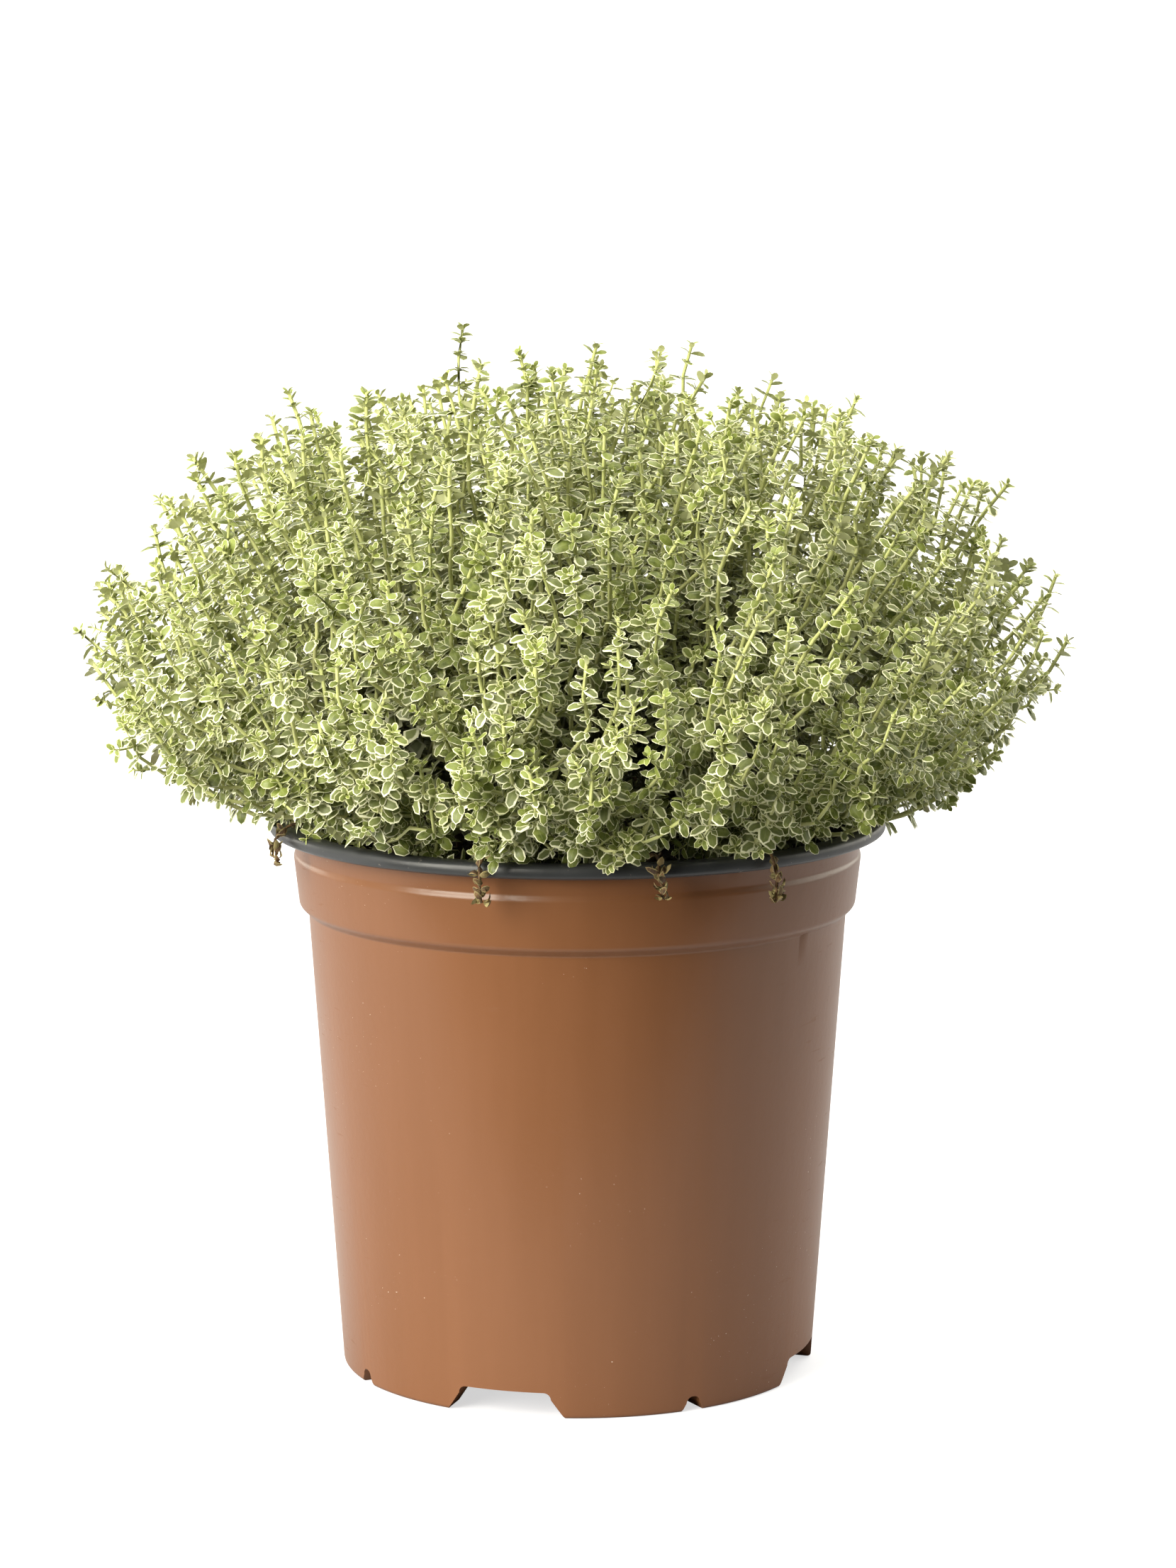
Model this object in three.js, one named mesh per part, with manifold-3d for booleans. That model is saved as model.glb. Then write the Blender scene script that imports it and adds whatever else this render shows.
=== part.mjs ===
// Potted variegated thyme: a two-tone nursery pot, its potting soil, and a dome of leafy sprays.
// Millimetres, +Z up. The origin is on the ground, at the middle of the pot's foot ring.
import * as THREE from "three";
import { mergeVertices } from "three/addons/utils/BufferGeometryUtils.js";
import Module from "manifold-3d";

const wasm = await Module();
wasm.setup();

// Pot: outer radii and heights, from the foot ring up to the rolled lip.
const ROUND_SIDES = 40;
const FOOT_RADIUS = 73;
const FOOT_DEPTH = 10; // how far the feet reach in under the floor
const FOOT_HEIGHT = 8;
const FOOT_ROUNDING = 0.7;
const FLOOR_THICK = 1.6;
const WALL_THICK = 1.4;
const BODY_TOP = { r: 83.0, z: 142.5 };
const BAND_LOW = { r: 86.1, z: 146 };
const BAND_TOP = { r: 87.5, z: 160.8 };
const NECK = { r: 89.8, z: 166.6 };
const LIP_RADIUS = 95;
const LIP_INNER_RADIUS = 90.6;
const LIP_TALL = 4.4;
const POT_TOP = 171.5;

// Notches between the feet, four wide ones and four narrow ones. "turn" is the azimuth of the first.
const NOTCHES_EACH = 4;
const WIDE_NOTCH = { low: 37, high: 29, tall: FOOT_HEIGHT, turn: -107.5 };
const NARROW_NOTCH = { low: 7.6, high: 4, tall: 4.5, turn: -61.5 };
const NOTCH_CORNER = 1.6;

// Drain holes in the floor.
const DRAIN_HOLES = 6;
const DRAIN_RADIUS = 4;
const DRAIN_CIRCLE = 42;

// Soil, a little uneven on top, and the gap kept between pieces that touch.
const SEAT_GAP = 0.3;
const SOIL_EDGE_Z = 159.5;
const SOIL_MIDDLE_Z = 162.5;
const SOIL_LUMP = 1.2;
const HOLE_DEPTH = 12;

// Dome of shoots. A lean is an angle from straight up, in degrees, seen from the dome's centre.
const DOME_CENTRE = new THREE.Vector3(0, 0, 163);
const SPRAYS = 24;
const OUTERMOST_LEAN = 74;
const ROOT_CIRCLE = 71; // radius that holds every root
const GOLDEN_ANGLE = 137.508;
const FIRST_AZIMUTH = 86;
const REACH_TOP = 158; // from the dome's centre to the highest tips
const REACH_SIDE = 175; // to the tips that lean a good way
const REACH_LOW_FALL = 54; // how much shorter the lowest shoots are
const LOW_LEAN = 64; // lean from which the shoots get shorter
const FLAT_LEAN = 84; // lean at which they are shortest
const REACH_SPREAD = 0.09; // share of the reach that varies from shoot to shoot

// Side shoots, which leave the main stem in opposite pairs, one pair across the other.
const FORKS = [0.34, 0.48]; // shares of the main stem's length
const SIDE_SHOOTS = 2 * FORKS.length;
const SIDE_SPREAD = 12.5; // degrees between their tips and the main one
const SIDE_SHORTER = 0.14; // share of the reach by which the lower pair falls short
const LOWEST_RISE = 0.17; // sine of the lowest angle above the horizon that they point at
const SPLAY = 0.35; // how sharply they turn off the main stem
const UPTURN = 0.42; // how much the tips bend up
const SIDE_CLEARANCE = 0.5; // room kept round a side shoot
const BENDS = [0, 14, -14, 28, -28, 40, -40]; // degrees round the main stem, tried in this order
const FIRST_SHARE = 0.16; // share of its length at which a side shoot has its full thickness

// Stems and leaves.
const STEM_RADIUS = 1.3; // to a corner of the square stem
const STRAIGHT_RISE = 2.5; // how far a main stem runs straight up out of the soil
const EARLY_UPTURN = 0.25; // how much it bends up from there
const TWIST = 45; // degrees that a main stem's leaves may be turned by, to either side
const LOOSE_TURN = 12; // degrees that a side shoot may be turned by
const NECK_RADIUS = 1.0;
const TIP_RADIUS = 0.7;
const MAIN_WHORLS = 3;
const SIDE_WHORLS = [3, 3, 2, 2];
const WHORL_STEP = 9;
const LEAF_LENGTH = 8.4;
const LEAF_WIDTH = 4.6;
const LEAF_WIDEST = 0.55; // share of its length at which a leaf is widest
const LEAF_ROOT = 1.5; // height of a leaf's root on the stem
const LEAF_CUP = 0.5; // how far its widest part lies above a flat blade
const LEAF_RISE = { low: 12, high: 32 }; // degrees between a leaf and a plane across the stem
const TIP_RISE = 26; // how much steeper the leaves at a tip are
const SIZE_SPREAD = 0.08; // share by which a leaf is larger or smaller than the next
const SMALL_LEAF = 0.7; // every other leaf of a whorl is smaller by this
const BUD_LENGTH = 3;

// Withered sprigs that hang over the lip: azimuth in degrees, and how far they hang below its top.
const DRY_SPRIGS = [
  { azimuth: -107, hang: 11 },
  { azimuth: -76, hang: 10 },
  { azimuth: -54, hang: 13 },
  { azimuth: -158, hang: 9 },
];
const DRY_RADIUS = 0.7;
const DRY_LEAF_SCALE = 0.78;

const TERRACOTTA = new THREE.MeshStandardMaterial({ color: 0xa8663f, roughness: 0.42, metalness: 0 });
const SOIL_BROWN = new THREE.MeshStandardMaterial({ color: 0x2a211b, roughness: 0.95, metalness: 0 });
const LEAF_GREEN = new THREE.MeshStandardMaterial({ color: 0xa9b56b, roughness: 0.6, metalness: 0 });
const DRY_BROWN = new THREE.MeshStandardMaterial({ color: 0x8a6a35, roughness: 0.85, metalness: 0 });

const { degToRad, radToDeg, lerp, mapLinear, clamp, smoothstep } = THREE.MathUtils;
const UP = new THREE.Vector3(0, 0, 1);

// A fixed draw from 0 to 1 for each pair of numbers.
function draw(i, k) {
  const x = Math.sin(i * 12.9898 + k * 78.233) * 43758.5453;
  return x - Math.floor(x);
}

// A closed geometry as a solid that can be cut and joined.
function solidOf(geometry) {
  const bare = new THREE.BufferGeometry().setAttribute("position", geometry.getAttribute("position"));
  bare.setIndex(geometry.index);
  const merged = mergeVertices(bare, 1e-4);
  const index = merged.index.array;
  const kept = [];
  for (let i = 0; i < index.length; i += 3) {
    const [a, b, c] = [index[i], index[i + 1], index[i + 2]];
    if (a !== b && b !== c && c !== a) kept.push(a, b, c);
  }
  return new wasm.Manifold(
    new wasm.Mesh({
      numProp: 3,
      vertProperties: merged.getAttribute("position").array,
      triVerts: new Uint32Array(kept),
    }),
  );
}

// A solid as a geometry.
function geometryOf(solid) {
  const mesh = solid.getMesh();
  const geometry = new THREE.BufferGeometry();
  geometry.setAttribute("position", new THREE.BufferAttribute(new Float32Array(mesh.vertProperties), 3));
  geometry.setIndex(new THREE.BufferAttribute(new Uint32Array(mesh.triVerts), 1));
  geometry.computeVertexNormals();
  return geometry;
}

function named(name, solid, material) {
  const mesh = new THREE.Mesh(geometryOf(solid), material);
  mesh.name = name;
  return mesh;
}

// A profile of [radius, height] points turned about the Z axis.
function turned(profile) {
  const points = profile.map(([r, z]) => new THREE.Vector2(r, z));
  return new THREE.LatheGeometry(points, ROUND_SIDES).rotateX(Math.PI / 2);
}

// The outer wall's radius at a height on the plain, tapering body.
function bodyRadius(z) {
  return mapLinear(z, 0, BODY_TOP.z, FOOT_RADIUS, BODY_TOP.r);
}

// A notch that runs out under the foot ring at an azimuth, with rounded upper corners.
function notchTool(notch, azimuth) {
  const corner = Math.min(NOTCH_CORNER, notch.high / 3);
  const outline = new THREE.Shape();
  outline.moveTo(-notch.low / 2, -1);
  outline.lineTo(-notch.low / 2, 0);
  outline.lineTo(-notch.high / 2, notch.tall - corner);
  outline.lineTo(-notch.high / 2 + corner, notch.tall);
  outline.lineTo(notch.high / 2 - corner, notch.tall);
  outline.lineTo(notch.high / 2, notch.tall - corner);
  outline.lineTo(notch.low / 2, 0);
  outline.lineTo(notch.low / 2, -1);
  outline.closePath();
  const tool = new THREE.ExtrudeGeometry(outline, { depth: FOOT_DEPTH + 12, bevelEnabled: false });
  tool.rotateX(Math.PI / 2).rotateZ(Math.PI / 2);
  tool.translate(FOOT_RADIUS - FOOT_DEPTH - 6, 0, 0).rotateZ(degToRad(azimuth));
  return solidOf(tool);
}

function drainTool(azimuth) {
  const tool = new THREE.CylinderGeometry(DRAIN_RADIUS, DRAIN_RADIUS, FLOOR_THICK + 4, 6);
  tool.rotateX(Math.PI / 2).translate(DRAIN_CIRCLE, 0, FOOT_HEIGHT + FLOOR_THICK / 2);
  return solidOf(tool.rotateZ(degToRad(azimuth)));
}

// Thin-walled pot with a stepped band, a rolled lip, a raised floor and eight feet.
function potSolid() {
  const floorTop = FOOT_HEIGHT + FLOOR_THICK;
  const lipLow = POT_TOP - LIP_TALL;
  let pot = solidOf(
    turned([
      [0, FOOT_HEIGHT],
      [FOOT_RADIUS - FOOT_DEPTH, FOOT_HEIGHT],
      [FOOT_RADIUS - FOOT_DEPTH, 0],
      [FOOT_RADIUS - FOOT_ROUNDING, 0],
      [bodyRadius(FOOT_ROUNDING), FOOT_ROUNDING],
      [BODY_TOP.r, BODY_TOP.z],
      [BAND_LOW.r, BAND_LOW.z],
      [BAND_TOP.r, BAND_TOP.z],
      [NECK.r, NECK.z],
      [LIP_RADIUS - 1, lipLow],
      [LIP_RADIUS, lipLow + 1.4],
      [LIP_RADIUS - 0.4, POT_TOP - 0.8],
      [LIP_RADIUS - 1.8, POT_TOP],
      [LIP_INNER_RADIUS, POT_TOP],
      [BAND_TOP.r - WALL_THICK, BAND_TOP.z],
      [BAND_LOW.r - WALL_THICK, BAND_LOW.z],
      [BODY_TOP.r - WALL_THICK, BODY_TOP.z],
      [bodyRadius(floorTop) - WALL_THICK, floorTop],
      [0, floorTop],
    ]),
  );
  for (let k = 0; k < NOTCHES_EACH; k++) {
    const quarter = (360 / NOTCHES_EACH) * k;
    pot = pot.subtract(notchTool(WIDE_NOTCH, WIDE_NOTCH.turn + quarter));
    pot = pot.subtract(notchTool(NARROW_NOTCH, NARROW_NOTCH.turn + quarter));
  }
  for (let k = 0; k < DRAIN_HOLES; k++) pot = pot.subtract(drainTool((360 / DRAIN_HOLES) * k));
  return pot;
}

// The soil's height at a point of its top.
function soilHeight(x, y) {
  const mound = lerp(SOIL_MIDDLE_Z, SOIL_EDGE_Z, (x * x + y * y) / BAND_TOP.r ** 2);
  return mound + SOIL_LUMP * Math.sin(x * 0.11 + 1) * Math.cos(y * 0.13);
}

// Soil that fills the pot, with a plain square hole for each stem.
function soilSolid(roots) {
  const inset = WALL_THICK + SEAT_GAP;
  const floor = FOOT_HEIGHT + FLOOR_THICK + SEAT_GAP;
  const geometry = turned([
    [0, floor],
    [bodyRadius(floor) - inset, floor],
    [BODY_TOP.r - inset, BODY_TOP.z],
    [BAND_LOW.r - inset, BAND_LOW.z],
    [BAND_TOP.r - inset - 0.3, SOIL_EDGE_Z - 1.5],
    [BAND_TOP.r * 0.55, SOIL_MIDDLE_Z],
    [0, SOIL_MIDDLE_Z],
  ]);
  const place = geometry.getAttribute("position");
  for (let i = 0; i < place.count; i++) {
    if (place.getZ(i) > SOIL_EDGE_Z - 2) place.setZ(i, soilHeight(place.getX(i), place.getY(i)));
  }
  let soil = solidOf(geometry);
  for (const root of roots) {
    const width = 2 * (root.radius * Math.SQRT1_2 + SEAT_GAP);
    const hole = new THREE.BoxGeometry(width, width, 2 * HOLE_DEPTH);
    hole.rotateZ(root.azimuth).translate(root.place.x, root.place.y, root.soilZ);
    soil = soil.subtract(solidOf(hole));
  }
  return soil;
}

// Gathers the corners and faces of one closed, faceted body.
class Facets {
  constructor() {
    this.corners = [];
    this.faces = [];
  }
  corner(point) {
    this.corners.push(point.x, point.y, point.z);
    return this.corners.length / 3 - 1;
  }
  face(...at) {
    for (let k = 2; k < at.length; k++) this.faces.push(at[0], at[k - 1], at[k]);
  }
  solid() {
    const geometry = new THREE.BufferGeometry();
    geometry.setAttribute("position", new THREE.BufferAttribute(new Float32Array(this.corners), 3));
    geometry.setIndex(this.faces);
    return solidOf(geometry);
  }
}

// A place on a stem: its middle, the way it runs, and two directions across it.
function station(point, along, side) {
  const u = side.clone().addScaledVector(along, -side.dot(along)).normalize();
  return { point, along, u, v: along.clone().cross(u) };
}

// The four corners of a square stem, a little way along it from a station.
function stemRing(facets, { point, along, u, v }, shift, radius) {
  return [0, 1, 2, 3].map((k) => {
    const angle = ((k - 0.5) * Math.PI) / 2;
    const corner = point.clone().addScaledVector(along, shift);
    corner.addScaledVector(u, radius * Math.cos(angle)).addScaledVector(v, radius * Math.sin(angle));
    return facets.corner(corner);
  });
}

// The four sides of a stem between two rings.
function between(facets, lower, upper) {
  for (let k = 0; k < 4; k++) {
    const next = (k + 1) % 4;
    facets.face(lower[k], lower[next], upper[next], upper[k]);
  }
}

// A leaf in place of one side between two rings: a kite-shaped blade, thick at its root, thin at its edge.
function leafOut(facets, lower, upper, k, { point, along, u, v }, leaf) {
  const next = (k + 1) % 4;
  const angle = (k * Math.PI) / 2;
  const out = u.clone().multiplyScalar(Math.cos(angle)).addScaledVector(v, Math.sin(angle));
  const across = along.clone().cross(out);
  const blade = out.multiplyScalar(Math.cos(leaf.rise)).addScaledVector(along, Math.sin(leaf.rise));
  const widest = point.clone().addScaledVector(blade, leaf.length * LEAF_WIDEST).addScaledVector(along, leaf.cup);
  const left = facets.corner(widest.clone().addScaledVector(across, -leaf.width / 2));
  const right = facets.corner(widest.clone().addScaledVector(across, leaf.width / 2));
  const tip = facets.corner(point.clone().addScaledVector(blade, leaf.length));
  facets.face(lower[k], lower[next], tip);
  facets.face(upper[next], upper[k], tip);
  facets.face(lower[next], right, tip);
  facets.face(right, upper[next], tip);
  facets.face(lower[next], upper[next], right);
  facets.face(upper[k], left, tip);
  facets.face(left, lower[k], tip);
  facets.face(upper[k], lower[k], left);
}

// One whorl: two leaves and, across them, two smaller ones. Gives the ring above it.
function whorl(facets, below, place, radius, n, steepness, scale, seed) {
  const lower = stemRing(facets, place, -LEAF_ROOT / 2, radius);
  const upper = stemRing(facets, place, LEAF_ROOT / 2, radius);
  between(facets, below, lower);
  for (let k = 0; k < 4; k++) {
    const small = (k + n) % 2 === 1 ? SMALL_LEAF : 1;
    const size = scale * small * lerp(1 - SIZE_SPREAD, 1 + SIZE_SPREAD, draw(seed, n * 4 + k));
    leafOut(facets, lower, upper, k, place, {
      length: LEAF_LENGTH * size,
      width: LEAF_WIDTH * size,
      rise: degToRad(lerp(LEAF_RISE.low, LEAF_RISE.high, draw(seed, 50 + n * 4 + k)) + TIP_RISE * steepness),
      cup: LEAF_CUP * size,
    });
  }
  return upper;
}

// Grows a stem from a ring of corners through plain rings and then whorls of leaves, closed by a bud.
function growStem(facets, root, { bare, leafy, radii, scale, seed }) {
  const last = bare.length + leafy.length - 1;
  const radiusAt = (n) => lerp(radii.root, radii.tip, n / last);
  let below = root;
  bare.forEach((place, n) => {
    const ring = stemRing(facets, place, 0, radiusAt(n));
    between(facets, below, ring);
    below = ring;
  });
  leafy.forEach((place, n) => {
    const steepness = n / Math.max(1, leafy.length - 1);
    below = whorl(facets, below, place, radiusAt(bare.length + n), n, steepness, scale, seed);
  });
  const end = leafy[leafy.length - 1];
  const bud = facets.corner(end.point.clone().addScaledVector(end.along, BUD_LENGTH * scale));
  for (let k = 0; k < 4; k++) facets.face(below[k], below[(k + 1) % 4], bud);
}

// A stem's cut end, at the first of its stations.
function cutEnd(facets, place, radius) {
  const ring = stemRing(facets, place, 0, radius);
  facets.face(ring[3], ring[2], ring[1], ring[0]);
  return ring;
}

// A leafy stem by itself.
function leafyStem(stem) {
  const facets = new Facets();
  const root = cutEnd(facets, stem.bare[0], stem.radii.root);
  growStem(facets, root, { ...stem, bare: stem.bare.slice(1) });
  return facets.solid();
}

// Stations on a curve: plain ones at shares of its length, then whorls a step apart that end at its tip.
function stationsOn(curve, side, plain, whorls) {
  const length = curve.getLength();
  const at = (t) => station(curve.getPointAt(t), curve.getTangentAt(t), side);
  const leafy = Array.from({ length: whorls }, (_, n) => at(1 - ((whorls - 1 - n) * WHORL_STEP) / length));
  return { bare: plain.map(at), leafy };
}

// How far shoots reach from the dome's centre at a lean.
function reachAt(lean) {
  const side = smoothstep(lean, 0, LOW_LEAN);
  const low = clamp(mapLinear(lean, LOW_LEAN, FLAT_LEAN, 0, 1), 0, 1);
  return lerp(REACH_TOP, REACH_SIDE, side) - REACH_LOW_FALL * low ** 1.5;
}

// A tip on the dome, seen from its centre.
function domeTip(direction, seed, shorter = 0) {
  const lean = radToDeg(Math.acos(direction.z));
  const reach = reachAt(lean) * (1 - shorter - REACH_SPREAD * draw(seed, 7)) - 4;
  return DOME_CENTRE.clone().addScaledVector(direction, reach);
}

// Where a spray is rooted and which way it points: a sunflower spiral, spread evenly over the dome.
function sprayPlan(i) {
  const share = (i + 0.5) / SPRAYS;
  const azimuth = degToRad(FIRST_AZIMUTH + GOLDEN_ANGLE * i);
  const lean = Math.acos(1 - (1 - Math.cos(degToRad(OUTERMOST_LEAN))) * share);
  const outward = new THREE.Vector3(Math.cos(azimuth), Math.sin(azimuth), 0);
  const sideways = new THREE.Vector3(-Math.sin(azimuth), Math.cos(azimuth), 0);
  const place = outward.clone().multiplyScalar(ROOT_CIRCLE * Math.sqrt(share));
  const direction = outward.clone().multiplyScalar(Math.sin(lean)).addScaledVector(UP, Math.cos(lean));
  const over = outward.clone().multiplyScalar(Math.cos(lean)).addScaledVector(UP, -Math.sin(lean));
  const soilZ = soilHeight(place.x, place.y);
  return { index: i, azimuth, outward, sideways, place, direction, over, soilZ, radius: STEM_RADIUS };
}

// A shoot's curve, from a point and a direction to a tip whose end turns up.
function shootCurve(from, heading, tip, direction) {
  const reach = from.distanceTo(tip) / 3;
  const ending = direction.clone().addScaledVector(UP, UPTURN).normalize();
  const first = from.clone().addScaledVector(heading, reach);
  const second = tip.clone().addScaledVector(ending, -reach);
  return new THREE.CubicBezierCurve3(from, first, second, tip);
}

// A spray's main stem: straight out of its hole in the soil, and then up to its own leafy tip.
function mainStem(plan) {
  const foot = plan.place.clone().setZ(plan.soilZ - HOLE_DEPTH + SEAT_GAP);
  const mouth = plan.place.clone().setZ(plan.soilZ + STRAIGHT_RISE);
  const heading = plan.direction.clone().addScaledVector(UP, EARLY_UPTURN).normalize();
  const curve = shootCurve(mouth, heading, domeTip(plan.direction, plan.index), plan.direction);
  const bend = UP.clone().add(heading).normalize();
  const below = [station(foot, UP, plan.sideways), station(mouth, bend, plan.sideways)];
  const twist = degToRad(lerp(-TWIST, TWIST, draw(plan.index, 3)));
  const side = plan.sideways.clone().applyAxisAngle(plan.direction, twist);
  const { bare, leafy } = stationsOn(curve, side, FORKS, MAIN_WHORLS);
  return { below, forks: bare, leafy, twist };
}

// One of a spray's side shoots, out of one face of a fork, turned round the main stem by a bend.
function sideShoot(plan, main, k, bend) {
  const seed = 100 + plan.index * SIDE_SHOOTS + k;
  const { fork, face } = sideRoot(k);
  const { point, along, u, v } = main.forks[fork];
  const angle = (face * Math.PI) / 2;
  const out = u.clone().multiplyScalar(Math.cos(angle)).addScaledVector(v, Math.sin(angle));
  const turn = angle + main.twist + degToRad(bend + lerp(-LOOSE_TURN, LOOSE_TURN, draw(seed, 1)));
  const spread = Math.tan(degToRad(SIDE_SPREAD));
  const direction = plan.direction
    .clone()
    .addScaledVector(plan.sideways, spread * Math.cos(turn))
    .addScaledVector(plan.over, -spread * Math.sin(turn))
    .normalize();
  direction.setZ(Math.max(direction.z, LOWEST_RISE)).normalize();
  const tip = domeTip(direction, seed, fork === 0 ? SIDE_SHORTER : 0);
  const from = point.clone().addScaledVector(out, STEM_RADIUS * Math.SQRT1_2);
  const heading = tip.clone().sub(from).normalize().addScaledVector(out, SPLAY).normalize();
  const curve = shootCurve(from, heading, tip, direction);
  const stations = stationsOn(curve, along.clone().negate(), [FIRST_SHARE], SIDE_WHORLS[k]);
  return { ...stations, radii: { root: NECK_RADIUS, tip: TIP_RADIUS }, scale: 0.95, seed };
}

// The fork and the face of it that a side shoot leaves from.
function sideRoot(k) {
  const fork = Math.floor(k / 2);
  return { fork, face: 2 * (k % 2) + fork };
}

// A side shoot by itself, made stouter by the clearance that it needs.
function stouter(shoot) {
  const { root, tip } = shoot.radii;
  const radii = { root: root + SIDE_CLEARANCE, tip: tip + SIDE_CLEARANCE };
  const [first] = shoot.bare;
  return leafyStem({ ...shoot, bare: [first], radii, scale: shoot.scale * (1 + SIDE_CLEARANCE / LEAF_LENGTH) });
}

// One spray: its main stem, with a side shoot in place of each face of a fork that has one.
function spraySolid(plan, main, shoots) {
  const facets = new Facets();
  let ring = cutEnd(facets, main.below[0], STEM_RADIUS);
  const mouth = stemRing(facets, main.below[1], 0, STEM_RADIUS);
  between(facets, ring, mouth);
  ring = mouth;
  main.forks.forEach((place, fork) => {
    const lower = stemRing(facets, place, -LEAF_ROOT / 2, STEM_RADIUS);
    const upper = stemRing(facets, place, LEAF_ROOT / 2, STEM_RADIUS);
    between(facets, ring, lower);
    for (let face = 0; face < 4; face++) {
      const next = (face + 1) % 4;
      const root = [lower[face], lower[next], upper[next], upper[face]];
      const shoot = shoots.find((_, k) => sideRoot(k).fork === fork && sideRoot(k).face === face);
      if (shoot) growStem(facets, root, shoot);
      else facets.face(...root);
    }
    ring = upper;
  });
  const radii = { root: NECK_RADIUS, tip: TIP_RADIUS };
  growStem(facets, ring, { bare: [], leafy: main.leafy, radii, scale: 1, seed: plan.index });
  return facets.solid();
}

// All sprays. A side shoot that would come too near another spray is bent clear, or else left out.
function spraySolids(plans) {
  const mains = plans.map(mainStem);
  const shoots = plans.map(() => []);
  const grown = plans.map((plan, i) => [spraySolid(plan, mains[i], [])]);
  for (let k = 0; k < SIDE_SHOOTS; k++) {
    plans.forEach((plan, i) => {
      for (const bend of BENDS) {
        const shoot = sideShoot(plan, mains[i], k, bend);
        const guard = stouter(shoot);
        const crosses = (other) => guard.intersect(other).volume() > 0;
        if (grown.some((others) => others.some(crosses))) continue;
        shoots[i][k] = shoot;
        grown[i].push(guard);
        break;
      }
    });
  }
  return plans.map((plan, i) => spraySolid(plan, mains[i], shoots[i]));
}

// The route of a withered sprig: out of the soil, over the lip, and down outside it.
function dryPlan({ azimuth, hang }) {
  const angle = degToRad(azimuth);
  const outward = new THREE.Vector3(Math.cos(angle), Math.sin(angle), 0);
  const sideways = new THREE.Vector3(-Math.sin(angle), Math.cos(angle), 0);
  const place = outward.clone().multiplyScalar(BAND_TOP.r - 7);
  return { azimuth: angle, outward, sideways, place, hang, soilZ: soilHeight(place.x, place.y), radius: DRY_RADIUS };
}

function drySolid(plan, seed) {
  const at = (r, z) => plan.outward.clone().multiplyScalar(r).setZ(z);
  const clear = DRY_RADIUS + SEAT_GAP;
  const foot = plan.place.clone().setZ(plan.soilZ - HOLE_DEPTH + SEAT_GAP);
  const mouth = plan.place.clone().setZ(plan.soilZ + 1.5);
  const over = new THREE.CatmullRomCurve3([
    mouth,
    at(LIP_INNER_RADIUS - 3, POT_TOP + clear),
    at(LIP_RADIUS - 1, POT_TOP + clear + 0.7),
    at(LIP_RADIUS + clear + 2, POT_TOP - 2.5),
    at(LIP_RADIUS + clear + 2, POT_TOP - plan.hang),
  ]);
  const { bare, leafy } = stationsOn(over, plan.sideways, [0.2, 0.42, 0.58], 2);
  bare.unshift(station(foot, UP, plan.sideways), station(mouth, UP, plan.sideways));
  const radii = { root: DRY_RADIUS, tip: DRY_RADIUS * 0.8 };
  return leafyStem({ bare, leafy, radii, scale: DRY_LEAF_SCALE, seed });
}

const sprays = Array.from({ length: SPRAYS }, (_, i) => sprayPlan(i));
const dry = DRY_SPRIGS.map(dryPlan);

const plant = new THREE.Group();
plant.add(named("pot", potSolid(), TERRACOTTA));
plant.add(named("soil", soilSolid([...sprays, ...dry]), SOIL_BROWN));
spraySolids(sprays).forEach((solid, i) => {
  plant.add(named(`spray_${String(i + 1).padStart(2, "0")}`, solid, LEAF_GREEN));
});
dry.forEach((plan, i) => plant.add(named(`dry_sprig_${i + 1}`, drySolid(plan, 900 + i), DRY_BROWN)));

export default plant;
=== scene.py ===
"""Looks of a potted variegated thyme: a two-tone pot, its soil, leafy sprays and withered sprigs.

Lengths are in millimetres until a mesh is made, and in metres in Blender. A value that is a pair of numbers
is mostly the range of a random draw.
"""
from math import acos, cos, degrees, hypot, pi, radians, sin, sqrt, tan

import bmesh
import bpy
import numpy as np
from mathutils import Matrix, Vector, noise
from numpy.random import default_rng


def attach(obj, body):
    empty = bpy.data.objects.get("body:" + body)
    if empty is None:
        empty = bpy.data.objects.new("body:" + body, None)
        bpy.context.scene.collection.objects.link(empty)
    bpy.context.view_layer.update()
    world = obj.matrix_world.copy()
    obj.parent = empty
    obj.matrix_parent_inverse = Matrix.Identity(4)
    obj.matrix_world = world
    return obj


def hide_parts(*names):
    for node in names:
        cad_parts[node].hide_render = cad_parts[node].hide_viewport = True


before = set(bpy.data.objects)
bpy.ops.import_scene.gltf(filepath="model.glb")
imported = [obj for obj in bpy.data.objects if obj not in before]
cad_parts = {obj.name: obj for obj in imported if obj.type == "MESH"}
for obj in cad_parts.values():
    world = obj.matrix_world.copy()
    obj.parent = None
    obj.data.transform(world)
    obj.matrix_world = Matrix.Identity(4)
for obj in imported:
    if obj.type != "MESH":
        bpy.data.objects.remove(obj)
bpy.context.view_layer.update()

MM = 0.001
UP = np.array([0.0, 0.0, 1.0])
GOLDEN_ANGLE = 137.508

# Seeds of the random draws. Where there are many draws of a kind, this is the first of them.
CRUMB_SEED, PLAN_SEED, SIDE_SEED, DRY_SEED = 41, 7, 100, 300
FINE_SWAY_SEED, MAIN_SWAY_SEED, SIDE_SWAY_SEED, FINE_LEAF_SEED = 1000, 2000, 3000, 5000

# Camera, at the photograph's viewing angle.
CAMERA_PLACE = (0.00327, -1.452, 0.407)
CAMERA_PITCH = 8.86  # degrees below the horizon
CAMERA_LENS, CAMERA_SENSOR = 109.56, 36

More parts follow.
